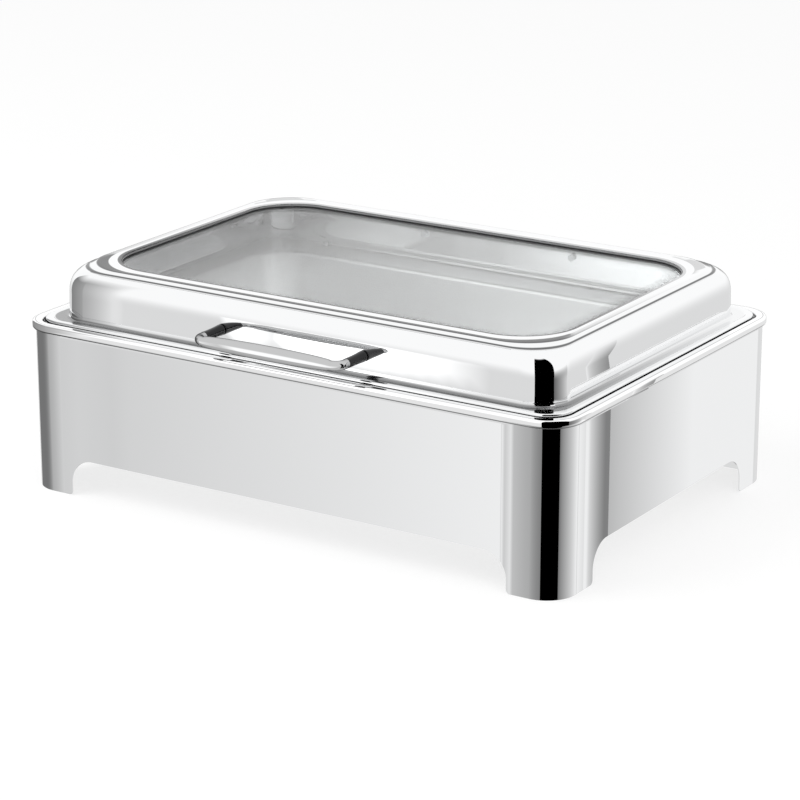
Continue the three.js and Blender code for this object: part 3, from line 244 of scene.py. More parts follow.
@dataclass(frozen=True)
class Finish:
    """One surface finish: a procedural material under its own name."""

    name: str
    colour: tuple[float, float, float, float]

    def dress(self, net: Net) -> Wire:
        """Wires the finish's shader."""
        raise NotImplementedError

    def material(self) -> bpy.types.Material:
        """The material, made on first use."""
        known = bpy.data.materials.get(self.name)
        if known is not None:
            return known
        made = bpy.data.materials.new(self.name)
        made.use_nodes = True
        net = Net(made.node_tree)
        net.node("ShaderNodeOutputMaterial", None, {"Surface": self.dress(net)})
        return made


@dataclass(frozen=True)
class MirrorSteel(Finish):
    """Polished sheet with a faint buffing haze, and painted shade in tight folds where the crease value is
    1: a dark colour standing in for their shade and dark reflections.
    """

    haze: float = 0.012
    smooth: float = 0.012
    fold_haze: float = 0.18
    cloudy: float = 0.985
    # The colour that tight folds are darkened to: painted shade, standing in for the shade and dark
    # reflections in them.
    fold: tuple[float, float, float, float] = rgb(0.045, 0.046, 0.048)
    edge: tuple[float, float, float, float] = rgb(1.0, 1.0, 1.0)

    def dress(self, net: Net) -> Wire:
        """Wires the finish's shader."""
        # The crease value marks the painted shade lines; it darkens the colour and dulls the gloss there.
        crease = net.stored("crease").step(0.0, 1.0)
        cloud = net.noise(9.0, 3.0)
        streak = net.noise(60.0, 4.0, (1, 1, 14))
        clean = net.mix(cloud, self.colour, scaled(self.colour, self.cloudy))
        return net.node(
            "ShaderNodeBsdfPrincipled",
            None,
            {
                "Base Color": net.mix(crease, clean, self.fold),
                "Metallic": 1.0,
                "Roughness": self.smooth + streak * self.haze + crease * self.fold_haze,
                "Specular Tint": self.edge,
            },
        )


@dataclass(frozen=True)
class BrushedSteel(Finish):
    """Metal with fine lines along one axis and a cloudy gloss, and painted shade in tight folds where the
    crease value is 1.
    """

    gloss: float = 0.24
    lines: tuple[float, float, float] = (1.0, 40.0, 40.0)
    depth: float = 0.06
    grain: float = 0.1
    cloud: float = 0.06
    groove: float = 0.0004
    # The colour that folds are darkened to: painted shade.
    fold: tuple[float, float, float, float] = rgb(0.08, 0.08, 0.085)

    def dress(self, net: Net) -> Wire:
        """Wires the finish's shader."""
        crease = net.stored("crease").step(0.0, 1.0)
        grain = net.noise(45.0, 4.0, self.lines)
        cloud = net.noise(14.0, 3.0)
        clean = net.mix(grain, scaled(self.colour, 1 - self.grain * 0.6), self.colour)
        return net.node(
            "ShaderNodeBsdfPrincipled",
            None,
            {
                "Base Color": net.mix(crease, clean, self.fold),
                "Metallic": 1.0,
                "Roughness": self.gloss + grain * self.grain + cloud * self.cloud,
                "Normal": net.bump(grain, self.depth, self.groove),
            },
        )


@dataclass(frozen=True)
class Moulded(Finish):
    """Plastic or rubber with a fine moulded grain and rubbed, slightly paler patches at random."""

    gloss: float = 0.45
    grain: float = 900.0
    depth: float = 0.12
    wear: float = 0.25
    rubbed: float = 1.6
    cloud: float = 0.12
    groove: float = 0.0003

    def dress(self, net: Net) -> Wire:
        """Wires the finish's shader."""
        skin = net.noise(self.grain, 2.0)
        cloud = net.noise(30.0, 3.0)
        tint = net.mix(cloud * self.wear, self.colour, scaled(self.colour, self.rubbed))
        return net.node(
            "ShaderNodeBsdfPrincipled",
            None,
            {
                "Base Color": tint,
                "Roughness": self.gloss + cloud * self.cloud,
                "Normal": net.bump(skin, self.depth, self.groove),
            },
        )


@dataclass(frozen=True)
class ClearGlass(Finish):
    """Coated glass with a trace of wiping marks, darkened by painted shade towards its left end and tinted
    grey towards its border.
    """

    index: float = 1.16
    marks: float = 0.01
    # The grey that the pane is tinted to towards its edges.
    border: tuple[float, float, float, float] = rgb(0.5, 0.503, 0.506)
    # The grey that the pane's left end is tinted to: painted shade standing in for the darker reflections
    # seen through it.
    left_shade: tuple[float, float, float, float] = rgb(0.36, 0.362, 0.365)

    def dress(self, net: Net) -> Wire:
        """Wires the finish's shader."""
        marks = net.noise(16.0, 3.0)
        border = net.stored("crease")
        along = net.node("ShaderNodeSeparateXYZ", None, {0: net.place()})
        # How much painted shade the pane carries, most at its left end.
        end = along.step(-0.26, -0.04, 0.75, 0.0) + along.step(-0.2, 0.18, 0.25, 0.0)
        tint = net.mix(border, net.mix(end, self.colour, self.left_shade), self.border)
        pane = net.node(
            "ShaderNodeBsdfPrincipled",
            None,
            {
                "Base Color": tint,
                "Roughness": marks * self.marks,
                "IOR": self.index,
                "Transmission Weight": 1.0,
            },
        )
        clear, left_shaded, edged = (
            net.node("ShaderNodeBsdfTransparent", None, {"Color": colour})
            for colour in (self.colour, self.left_shade, self.border)
        )
        through = net.blend(border, net.blend(end, clear, left_shaded), edged)
        shadow = net.node("ShaderNodeLightPath", output="Is Shadow Ray")
        diffuse = net.node("ShaderNodeLightPath", output="Is Diffuse Ray")
        return net.blend(shadow.larger(diffuse), pane, through)


class Finishes:
    """All finishes of the dish, by what they are used on."""

    MIRROR = MirrorSteel("mirror_steel", rgb(0.86, 0.865, 0.87))
    # The handle's darker steel and dark edge tint are painted reflection: they stand in for the dark
    # reflections along the bar.
    HANDLE_PAINTED_DARK = MirrorSteel(
        "handle_steel_painted_dark", rgb(0.52, 0.522, 0.525), haze=0.05, edge=rgb(0.12, 0.12, 0.12)
    )
    # The collars' near-black colour is painted reflection: it stands in for the dark reflections that the
    # collars show.
    COLLAR_PAINTED_DARK = MirrorSteel("collar_painted_dark_reflection", rgb(0.03, 0.03, 0.031), haze=0.05)
    MIRROR_RIM = MirrorSteel("rim_steel", rgb(0.96, 0.962, 0.965))
    PAN = BrushedSteel("pan_steel", rgb(0.83, 0.835, 0.84), gloss=0.36, depth=0.006, grain=0.03)
    SATIN = BrushedSteel("lined_steel", rgb(0.7, 0.71, 0.72))
    PLATED = BrushedSteel("zinc_plate", rgb(0.62, 0.64, 0.66), gloss=0.3, lines=(6, 6, 6))
    CAST = BrushedSteel("cast_grey_metal", rgb(0.6, 0.61, 0.62), gloss=0.45, lines=(8, 8, 8), depth=0.3)
    COPPER = BrushedSteel("drawn_copper", rgb(0.72, 0.42, 0.25), gloss=0.3, lines=(20, 4, 20))
    GLASS = ClearGlass("window_glass", rgb(0.97, 0.985, 0.98))
    SEAL = Moulded("glass_seal", rgb(0.26, 0.262, 0.265), gloss=0.5, grain=500)
    BUMPER = Moulded("bumper_silicone", rgb(0.62, 0.63, 0.62), gloss=0.4, grain=400)
    BLACK = Moulded("moulded_black", rgb(0.016, 0.016, 0.018), gloss=0.38)
    RED = Moulded("switch_red", rgb(0.5, 0.022, 0.016), gloss=0.2, depth=0.04)
    LENS = Moulded("lamp_red", rgb(0.62, 0.03, 0.02), gloss=0.08, depth=0.02, wear=0.5)
    MARK = Moulded("pointer_white", rgb(0.8, 0.8, 0.79), gloss=0.4, depth=0.05)
    BROWN = Moulded("brown_insulation", rgb(0.13, 0.06, 0.03), gloss=0.5)
    BLUE = Moulded("blue_insulation", rgb(0.025, 0.09, 0.3), gloss=0.5)
    EARTH = Moulded("green_insulation", rgb(0.12, 0.27, 0.04), gloss=0.5)

    BY_SLOT = {
        Slot.POLISHED: MIRROR,
        Slot.SATIN: SATIN,
        Slot.PLATED: PLATED,
        Slot.ALUMINIUM: CAST,
        Slot.COPPER: COPPER,
        Slot.GLASS: GLASS,
        Slot.DARK_RUBBER: SEAL,
        Slot.PALE_RUBBER: BUMPER,
        Slot.BLACK: BLACK,
        Slot.RED: RED,
        Slot.BROWN_WIRE: BROWN,
        Slot.BLUE_WIRE: BLUE,
        Slot.EARTH_WIRE: EARTH,
    }


# The bench


class Bench:
    """Operators on the piece that is being shaped, as by hand."""

    @staticmethod
    def clear() -> None:
        """Leaves edit mode and deselects everything."""
        if bpy.context.object is not None and bpy.context.object.mode != "OBJECT":
            bpy.ops.object.mode_set(mode="OBJECT")
        bpy.ops.object.select_all(action="DESELECT")

    @staticmethod
    def edit() -> None:
        """Edit mode on vertices, with everything selected."""
        bpy.ops.object.mode_set(mode="EDIT")
        bpy.ops.mesh.select_mode(type="VERT")
        bpy.ops.mesh.select_all(action="SELECT")

    @staticmethod
    def mesh() -> bmesh.types.BMesh:
        """The mesh in edit mode."""
        return bmesh.from_edit_mesh(bpy.context.object.data)

    @staticmethod
    def show() -> None:
        """Hands changed selections back to the operators."""
        bpy.context.object.data.update()
        bmesh.update_edit_mesh(bpy.context.object.data)

    @staticmethod
    def crease(value: float) -> None:
        """Writes the crease value of the selected vertices: the amount of painted shade that the steel
        finishes darken them by.
        """
        mesh = Bench.mesh()
        layer = mesh.verts.layers.float.get("crease") or mesh.verts.layers.float.new("crease")
        for vert in mesh.verts:
            if vert.select:
                vert[layer] = value
        Bench.show()

    @staticmethod
    def modifier(kind: str, **settings: object) -> None:
        """Adds a modifier to the active piece and applies it."""
        made = bpy.context.object.modifiers.new(kind.lower(), kind)
        for key, value in settings.items():
            setattr(made, key, value)
        bpy.ops.object.modifier_apply(modifier=made.name)

    @staticmethod
    def finish(
        name: str,
        finish: Finish,
        slot: Slot,
        body: Body,
        nodes: tuple[str, ...],
        smooth: float = 32.0,
        outward: bool = True,
    ) -> bpy.types.Object:
        """Settles the active piece, sets it on its body and hides the CAD nodes that it stands for.

        Args:
            name: the piece's name.
            finish: its finish.
            slot: its material slot in the record; not used.
            body: what it rides on.
            nodes: the CAD nodes that it stands for.
            smooth: edges bent less than this many degrees are smooth.
            outward: whether its normals are worked out again.

        Returns:
            The finished object.
        """
        piece = bpy.context.object
        if outward:
            if piece.mode != "EDIT":
                Bench.edit()
            bpy.ops.mesh.select_all(action="SELECT")
            bpy.ops.mesh.normals_make_consistent(inside=False)
        if piece.mode == "EDIT":
            bpy.ops.object.mode_set(mode="OBJECT")
        bpy.ops.object.select_all(action="DESELECT")
        piece.select_set(True)
        bpy.ops.object.transform_apply(location=True, rotation=True, scale=True)
        bpy.ops.object.shade_smooth_by_angle(angle=math.radians(smooth))
        Bench.modifier("WEIGHTED_NORMAL", keep_sharp=True, weight=50)
        piece.name = name
        piece.data.name = name
        piece.data.materials.clear()
        piece.data.materials.append(finish.material())
        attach(piece, body.value)
        if nodes:
            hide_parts(*nodes)
        LOG.info("%s: %d faces on %s", name, len(piece.data.polygons), body.value)
        return piece


@dataclass(frozen=True)
class Ring:
    """One rounded-rectangle outline in a loft, in millimetres."""

    half_x: float
    half_y: float
    corner: float
    z: float
    # How much painted shade the outline's vertices carry, from 0 to 1.
    crease: float = 0.0

    def centre(self, sign_x: int, sign_y: int) -> Vector:
        """The centre of one corner's arc, in metres."""
        return Vector((
            sign_x * (self.half_x - self.corner) * MM,
            (sign_y * (self.half_y - self.corner) + MIDDLE_Y) * MM,
            self.z * MM,
        ))

    def moved(self, out: float, z: float, crease: float = 0.0, corner: float | None = None) -> "Ring":
        """The outline grown outwards by a length, at another height."""
        round_to = self.corner + out if corner is None else corner
        return Ring(self.half_x + out, self.half_y + out, round_to, z, crease)


class Loft:
    """A skin over rounded-rectangle outlines, extruded from one to the next."""

    QUARTERS = ((1, 1), (-1, 1), (-1, -1), (1, -1))

    def __init__(self, first: Ring, steps: int = 20, capped: bool = False) -> None:
        """Lays the first outline.

        Args:
            first: the outline.
            steps: flats on each corner.
            capped: whether the outline keeps its face.
        """
        Bench.clear()
        middle = (0, MIDDLE_Y * MM, first.z * MM)
        bpy.ops.mesh.primitive_plane_add(size=2, location=middle)
        Bench.edit()
        bpy.ops.transform.resize(
            value=(first.half_x * MM, first.half_y * MM, 1), center_override=middle
        )
        bpy.ops.mesh.bevel(
            offset=first.corner * MM,
            offset_type="OFFSET",
            segments=steps,
            profile=0.5,
            affect="VERTICES",
        )
        bpy.ops.mesh.select_all(action="SELECT")
        if not capped:
            bpy.ops.mesh.delete(type="ONLY_FACE")
            bpy.ops.mesh.select_all(action="SELECT")
        Bench.crease(first.crease)
        self.last = self.first = first

    def to(self, ring: Ring) -> "Loft":
        """Extrudes the outline on to the next one."""
        before = self.last
        bpy.ops.mesh.extrude_edges_move(
            TRANSFORM_OT_translate={"value": (0, 0, (ring.z - before.z) * MM)}
        )
        mesh = Bench.mesh()
        fresh = [vert for vert in mesh.verts if vert.select]
        middle = MIDDLE_Y * MM - bpy.context.object.location.y
        quarters = {
            signs: [v for v in fresh if v.co.x * signs[0] > 0 and (v.co.y - middle) * signs[1] > 0]
            for signs in self.QUARTERS
        }
        indexes = {signs: [v.index for v in verts] for signs, verts in quarters.items()}
        everything = [v.index for v in fresh]
        ratio = ring.corner / before.corner
        for signs in self.QUARTERS:
            self._pick(indexes[signs])
            old = before.centre(*signs)
            old.z = ring.z * MM
            if abs(ratio - 1) > 1e-9:
                bpy.ops.transform.resize(value=(ratio, ratio, 1), center_override=old)
            shift = ring.centre(*signs) - old
            if shift.length > 1e-9:
                bpy.ops.transform.translate(value=shift)
        self._pick(everything)
        Bench.crease(ring.crease)
        self.last = ring
        return self

    @staticmethod
    def _pick(indexes: list[int]) -> None:
        """Selects vertices by number."""
        mesh = Bench.mesh()
        mesh.verts.ensure_lookup_table()
        for vert in mesh.verts:
            vert.select_set(False)
        for index in indexes:
            mesh.verts[index].select_set(True)
        mesh.select_flush_mode()
        Bench.show()

    def through(self, rings: Iterable[Ring]) -> "Loft":
        """Extrudes on through several outlines."""
        for ring in rings:
            self.to(ring)
        return self

    def join(self) -> None:
        """Returns to the first outline and welds there."""
        self.to(self.first)
        bpy.ops.mesh.select_all(action="SELECT")
        bpy.ops.mesh.remove_doubles(threshold=2e-6)

    def cap(self) -> None:
        """Closes the last outline with a face."""
        bpy.ops.mesh.edge_face_add()


class Turned:
    """A piece turned about Y: circles of (radius, place along Y), extruded in a row."""

    FACING = (-math.pi / 2, 0.0, 0.0)

    def __init__(
        self,
        centre: tuple[float, float, float],
        profile: list[tuple[float, float]],
        sides: int = 40,
    ) -> None:
        """Models the piece and leaves it in edit mode.

        Args:
            centre: the point from which the places are counted, in millimetres.
            profile: the (radius, place) pairs, in millimetres.
            sides: flats round it.
        """
        radius, along = profile[0]
        start = Vector(centre) * MM + Vector((0, along * MM, 0))
        Bench.clear()
        bpy.ops.mesh.primitive_circle_add(
            vertices=sides,
            radius=radius * MM,
            fill_type="NGON",
            location=start,
            rotation=self.FACING,
        )
        Bench.edit()
        for next_radius, next_along in profile[1:]:
            bpy.ops.mesh.extrude_edges_move(
                TRANSFORM_OT_translate={"value": Vector((0, (next_along - along) * MM, 0))}
            )
            middle = Vector(centre) * MM + Vector((0, next_along * MM, 0))
            self.swell(next_radius / radius, middle)
            radius, along = next_radius, next_along
        bpy.ops.mesh.edge_face_add()

    @staticmethod
    def swell(ratio: float, centre: Vector) -> None:
        """Scales the selection about Y."""
        bpy.ops.transform.resize(value=(ratio, 1.0, ratio), center_override=centre)


def arc(
    centre: tuple[float, float], radius: float, start: float, end: float, steps: int
) -> list[tuple[float, float]]:
    """The points of an arc.

    Args:
        centre: its centre.
        radius: its radius.
        start: first angle in degrees.
        end: last angle in degrees.
        steps: how many chords.

    Returns:
        The points, both ends included.
    """
    points = []
    for step in range(steps + 1):
        angle = math.radians(start + (end - start) * step / steps)
        points.append((
            centre[0] + radius * math.cos(angle),
            centre[1] + radius * math.sin(angle),
        ))
    return points


# Sub-assemblies


@dataclass
class Stand:
    """The sheet-steel stand on four corner feet, with its rolled rim. Millimetres."""

    half_x: float = 295.0
    half_y: float = 206.25
    corner: float = 30.0
    height: float = 158.0
    sheet: float = 1.2
    arch_rise: float = 37.2
    arch_corner: float = 24.6
    foot_corner: float = 4.0
    front_foot: float = 53.4
    side_foot: float = 61.0
    gap: float = 0.3
    rim_height: float = 8.0
    rim_out: float = 3.5
    rim_in: float = 7.0
    rim_edge: float = 2.5
    ledge_top: float = 159.7
    ledge_x: float = 264.0
    ledge_y: float = 161.5
    ledge_corner: float = 57.0
    web_depth: float = 9.0

    @property
    def outline(self) -> Ring:
        """The stand's outside at the floor."""
        return Ring(self.half_x, self.half_y, self.corner, 0)

    def arch_cutter(self, half_width: float, along_x: bool) -> bpy.types.Object:
        """A bar with the section of the openings between two feet.

        Args:
            half_width: half of the opening's width.
            along_x: whether the bar runs along X, else along Y.

        Returns:
            The bar.
        """
        foot, top, big = self.foot_corner, self.arch_rise, self.arch_corner
        right = [
            (half_width + foot, -8.0),
            *arc((half_width + foot, foot), foot, 270, 180, 8),
            *arc((half_width - big, top - big), big, 0, 90, 24),
        ]
        outline = right + [(-u, z) for u, z in reversed(right)]
        reach = (self.half_x if along_x else self.half_y) + 20
        Bench.clear()
        bpy.ops.mesh.primitive_circle_add(vertices=len(outline), radius=MM, fill_type="NGON")
        Bench.edit()
        mesh = Bench.mesh()
        mesh.verts.ensure_lookup_table()
        for vert, (u, z) in zip(mesh.verts, outline):
            y = MIDDLE_Y - reach
            vert.co = (-reach * MM, (u + MIDDLE_Y) * MM, z * MM) if along_x else (
                u * MM, y * MM, z * MM)
        Bench.show()
        way = (2 * reach * MM, 0, 0) if along_x else (0, 2 * reach * MM, 0)
        bpy.ops.mesh.extrude_region_move(TRANSFORM_OT_translate={"value": way})
        bpy.ops.mesh.select_all(action="SELECT")
        bpy.ops.mesh.normals_make_consistent(inside=False)
        Bench.clear()
        return bpy.context.object

    def build_stand(self) -> None:
        """Models the sheet, cuts its arches and softens the cut edges."""
        outside = self.outline
        loft = Loft(outside, steps=24)
        loft.through([
            outside.moved(0, self.height),
            outside.moved(-self.sheet, self.height),
            outside.moved(-self.sheet, 0),
        ])
        loft.join()
        bpy.ops.mesh.normals_make_consistent(inside=False)
        Bench.clear()
        sheet = bpy.context.object
        cutters = [
            self.arch_cutter(self.half_x - self.front_foot, False),
            self.arch_cutter(self.half_y - self.side_foot, True),
        ]
        Bench.clear()
        bpy.context.view_layer.objects.active = sheet
        sheet.select_set(True)
        for cutter in cutters:
            Bench.modifier("BOOLEAN", operation="DIFFERENCE", object=cutter, solver="EXACT")
            bpy.data.objects.remove(cutter)
        Bench.modifier(
            "BEVEL", width=0.25 * MM, segments=2, limit_method="ANGLE", angle_limit=math.radians(50)
        )
        Bench.finish(
            "stand_sheet", Finishes.MIRROR, Slot.POLISHED, Body.BASE, ("stand",), outward=False
        )

    def build_rim(self) -> None:
        """Models the rolled rim, its ledge and its web in one skin."""
        edge, out = self.rim_edge, self.rim_out
        low = self.height + self.gap
        top = low + self.rim_height
        # Each point's third value is painted shade: a dark line under the roll, a short line on its top and
        # a softer shade down its inner side.
        rolled = [
            *((u, z, shade) for (u, z), shade in zip(
                arc((out - edge, low + edge), edge, -90, 0, 7), (0.9, 0.9, 0.9, 0.85, 0.8, 0.7, 0.4, 0)
            )),
            *((u, z, 0) for u, z in arc((out - edge, top - edge), edge, 0, 90, 8)),
            (out - edge - 0.4, top, 0.55),
            (out - edge - 1.0, top, 0.55),
            (out - edge - 1.5, top, 0),
            *((u, z, shade) for (u, z), shade in zip(
                arc((edge - self.rim_in, top - edge), edge, 90, 180, 8),
                (0, 0, 0.05, 0.15, 0.25, 0.35, 0.35, 0.35, 0.35),
            )),
        ]
        outside = self.outline
        web_out = self.sheet + self.gap
        web_in = web_out + self.sheet
        loft = Loft(outside.moved(self.gap, low), steps=24)
        loft.through(outside.moved(u, z, shade) for u, z, shade in rolled)
        ledge = Ring(self.ledge_x, self.ledge_y, self.ledge_corner, self.ledge_top)
        loft.through([
            # These two outlines carry a painted shade line in the groove at the roll's foot.
            outside.moved(-self.rim_in, self.ledge_top + 0.6, 0.4),
            outside.moved(-self.rim_in - 0.6, self.ledge_top, 0.4),
            ledge,
            ledge.moved(0, self.ledge_top - self.sheet),
            outside.moved(-web_in, self.ledge_top - self.sheet),
            outside.moved(-web_in, low - self.web_depth),
            outside.moved(-web_out, low - self.web_depth),
            outside.moved(-web_out, low),
        ])
        loft.join()
        Bench.finish("rolled_rim", Finishes.MIRROR_RIM, Slot.POLISHED, Body.BASE, ("top_rim",))

    def build(self) -> None:
        """Models both pieces."""
        self.build_stand()
        self.build_rim()


@dataclass
class Pans:
    """The water pan on the ledge and the food pan in it. Millimetres."""

    sheet: float = 1.0
    food_half: tuple[float, float] = (252.0, 149.5)
    food_edge: tuple[float, float] = (265.0, 162.5)
    food_corner: float = 46.0
    food_top: float = 162.3
    food_floor: float = 97.3
    food_taper: float = 11.0
    food_lip: float = 5.0
    water_half: tuple[float, float] = (258.0, 155.5)
    water_edge: tuple[float, float] = (287.2, 198.45)
    water_corner: float = 52.0
    water_edge_corner: float = 22.2
    water_top: float = 161.0
    water_floor: float = 61.0
    water_taper: float = 8.0
    floor_radius: float = 12.0

    def pan(
        self,
        half: tuple[float, float],
        corner: float,
        edge: Ring,
        floor: float,
        taper: float,
        lip: float,
    ) -> None:
        """Models a drawn pan, from the floor's face out over the flange and back beneath.

        Args:
            half: half sizes of the wall at its top.
            corner: the wall's corner radius.
            edge: the flange's outside at its top.
            floor: height of the floor.
            taper: how far the wall leans in.
            lip: radius between wall and flange.
        """
        bend, thick = self.floor_radius, self.sheet
        wall = Ring(half[0], half[1], corner, 0)
        inside = [
            (-taper - bend + bend * math.cos(a), floor + bend - bend * math.sin(a))
            for a in (math.radians(90 - 11.25 * step) for step in range(9))
        ]
        over = [
            (lip - lip * math.cos(a), edge.z - lip + lip * math.sin(a))
            for a in (math.radians(11.25 * step) for step in range(9))
        ]
        skin = [wall.moved(u, z, corner=corner + u * 0.5) for u, z in inside]
        skin += [wall.moved(u, z, corner=corner + u) for u, z in over]
        skin.append(edge)
        under = [edge.moved(0, edge.z - thick)]
        under += [
            wall.moved(u + thick * 0.7, z - thick, corner=corner + u) for u, z in reversed(over)
        ]
        under += [
            wall.moved(u + thick * 0.7, z - thick, corner=corner + u * 0.5)
            for u, z in reversed(inside)
        ]
        loft = Loft(skin[0], steps=16, capped=True)
        loft.through(skin[1:] + under)
        loft.cap()

    def build(self) -> None:
        """Models both pans."""
        edge = Ring(*self.water_edge, self.water_edge_corner, self.water_top)
        self.pan(
            self.water_half, self.water_corner, edge, self.water_floor, self.water_taper, 1.5
        )
        Bench.finish("water_pan_deep", Finishes.PAN, Slot.SATIN, Body.BASE, ("water_pan",))
        edge = Ring(*self.food_edge, self.food_corner + 13, self.food_top)
        self.pan(
            self.food_half, self.food_corner, edge, self.food_floor, self.food_taper, self.food_lip
        )
        Bench.finish("food_pan_insert", Finishes.PAN, Slot.SATIN, Body.BASE, ("food_pan",))


@dataclass
class Lid:
    """The drawn lid with its window, seal and retainer. Millimetres."""

    wall_x: float = 272.4
    wall_y: float = 183.65
    corner: float = 33.0
    sheet: float = 1.2
    bottom: float = 162.6
    bead_top: float = 168.4
    flange_top: float = 167.6
    bead_out: float = 14.6
    bead_in: float = 8.4
    bead_edge: float = 1.6
    edge_corner: float = 26.0
    foot_radius: float = 3.4
    flare: float = 0.6
    bend_start: float = 190.0
    fold_inset: float = 9.8
    fold_z: float = 215.0
    crease_inset: float = 17.0
    crease_corner: float = 56.0
    top: float = 218.05
    window_z: float = 217.7
    window_x: float = 245.0
    window_y: float = 151.2
    window_corner: float = 54.0
    glass_bottom: float = 210.7
    glass_top: float = 214.7
    glass_lap: float = 4.0
    glass_ease: float = 0.5
    # How far the pane's grey border tint reaches in from its edge, as (inset, share) pairs.
    border_steps: tuple[tuple[float, float], ...] = ((-20, 0.0), (-14, 0.25), (-8, 0.62), (-1, 1.0))
    retainer_low: float = 208.9
    retainer_high: float = 216.2
    retainer_reach: float = 16.7

    @property
    def pane(self) -> Ring:
        """The window's outline."""
        return Ring(self.window_x, self.window_y, self.window_corner, 0)

    def shoulder(self, steps: int = 14) -> list[tuple[float, float]]:
        """The shoulder's curve as (inset, z), tightening from the wall to the fold.

        Args:
            steps: how many chords.

        Returns:
            The points, both ends included.
        """
        power, fine = 1.55, 240
        run = rise = 0.0
        points = [(0.0, 0.0)]
        for index in range(fine):
            angle = math.radians(62) * ((index + 0.5) / fine) ** power
            run += math.sin(angle) / fine
            rise += math.cos(angle) / fine
            if (index + 1) % (fine // steps) == 0:
                points.append((run, rise))
        wide = self.fold_inset / points[-1][0]
        tall = (self.fold_z - self.bend_start) / points[-1][1]
        return [(u * wide, self.bend_start + z * tall) for u, z in points]

    def shoulder_corner(self, inset: float) -> float:
        """The corner radius at an inset: it opens towards the crease."""
        share = min(1.0, inset / self.crease_inset)
        return self.corner + (self.crease_corner - self.corner) * share ** 2.2

    def fade_painted_shade(self) -> None:
        """Lets the painted shade on the top's crease run out behind the front corners, and pales the painted
        shade lines at the rear.
        """
        mesh = Bench.mesh()
        layer = mesh.verts.layers.float["crease"]
        for vert in mesh.verts:
            y = bpy.context.object.location.y / MM + vert.co.y / MM
            z = bpy.context.object.location.z / MM + vert.co.z / MM
            inset = self.wall_x - abs(vert.co.x) / MM, self.wall_y - abs(y - MIDDLE_Y)
            if z > self.window_z - 0.1 and min(inset) < self.crease_inset + 3.8:
                vert[layer] *= min(1.0, max(0.0, (-y - 95) / 40))
            elif z > self.window_z - 2 and y > 0:
                vert[layer] *= max(0.45, 1 - y / 150)
            elif self.flange_top - 0.1 < z < self.flange_top + 4 and y > 0:
                vert[layer] *= 0.25
        Bench.show()

    def build_shell(self) -> None:
        """Models the shell from its edge bead up over the shoulder to the window."""
        wall = Ring(self.wall_x, self.wall_y, self.corner, 0)
        edge, roll = self.edge_corner, self.bead_edge

        def at(inset: float, z: float, crease: float = 0.0, corner: float | None = None) -> Ring:
            """An outline at an inset from the wall."""
            return wall.moved(-inset, z, crease, self.shoulder_corner(inset) if corner is None else corner)

        bead = [
            *arc((-self.bead_out + roll, self.bottom + roll), roll, 270, 180, 5),
            (-self.bead_out, self.bottom + 3.3),
            (-self.bead_out, self.bottom + 3.9),
            *arc((-self.bead_out + roll, self.bead_top - roll), roll, 180, 90, 6),
            *arc((-self.bead_in - roll, self.bead_top - roll), roll, 90, 40, 4),
        ]
        foot_z = self.flange_top + self.foot_radius
        foot = arc((-self.flare - self.foot_radius, foot_z), self.foot_radius, 270, 360, 8)
        # The bead's lower outlines carry a painted shade line under the bead; the flange and the foot of the
        # wall carry painted shade that fades up the foot.
        rings = [at(u, z, 0.95 if z < self.bottom + 3.5 else 0.0, edge) for u, z in bead]
        rings.append(at(-self.bead_in + 0.3, self.flange_top, 0.66, edge + 1))
        rings += [
            at(u, z, min(0.66, 1.3 - 1.2 * index / 8), self.corner - u)
            for index, (u, z) in enumerate(foot)
        ]
        rings.append(at(-self.flare * 0.35, self.bead_top + 11.6, corner=self.corner))
        curve = self.shoulder()
        rings += [at(u, z) for u, z in curve[:-1]]
        fold_u, fold_z = curve[-1]
        rise = self.top - fold_z
        # These outlines carry painted shade lines along the fold, and along the crease and down its step to
        # the window.
        rings += [
            at(fold_u - 0.5, fold_z - 0.95),
            at(fold_u, fold_z, 0.8),
            at(fold_u + 1.2, fold_z + 0.5, 0.8),
            at(fold_u + 2.0, fold_z + rise * 0.24),
            at(self.crease_inset - 3.1, self.top - 0.45),
            at(self.crease_inset - 2.4, self.top - 0.25, 0.95),
            at(self.crease_inset - 1.0, self.top, 0.95),
            at(self.crease_inset + 3.0, self.window_z, 0.95),
            at(self.crease_inset + 3.7, self.window_z),
        ]
        pane = self.pane
        # The window's edge carries a painted dark outline.
        rings += [
            pane.moved(4.0, self.window_z),
            pane.moved(3.1, self.window_z, 0.9),
            pane.moved(0.35, self.window_z - 0.15, 0.95),
            pane.moved(0.0, self.window_z - 0.5, 0.75),
            pane.moved(0.0, self.window_z - self.sheet, 0.5),
        ]
        thick = self.sheet
        rings += [
            at(self.crease_inset + 1.3, self.window_z - thick),
            at(fold_u + 0.6, fold_z - thick * 0.9),
        ]
        rings += [at(u + thick, z - 0.3 * thick) for u, z in reversed(curve[:-1])]
        rings.append(at(-self.flare + thick, self.flange_top + 3.4, corner=self.corner - thick))
        rings += [
            at(-self.flare - self.foot_radius + 1.0, self.flange_top - thick, corner=self.corner + 2),
            at(-self.bead_in, self.flange_top - thick, corner=edge),
            at(-self.bead_in, self.bottom, corner=edge),
        ]
        loft = Loft(rings[0], steps=24)
        loft.through(rings[1:])
        loft.join()
        self.fade_painted_shade()
        Bench.finish("lid_shell_drawn", Finishes.MIRROR, Slot.POLISHED, Body.LID, ("lid_shell",))

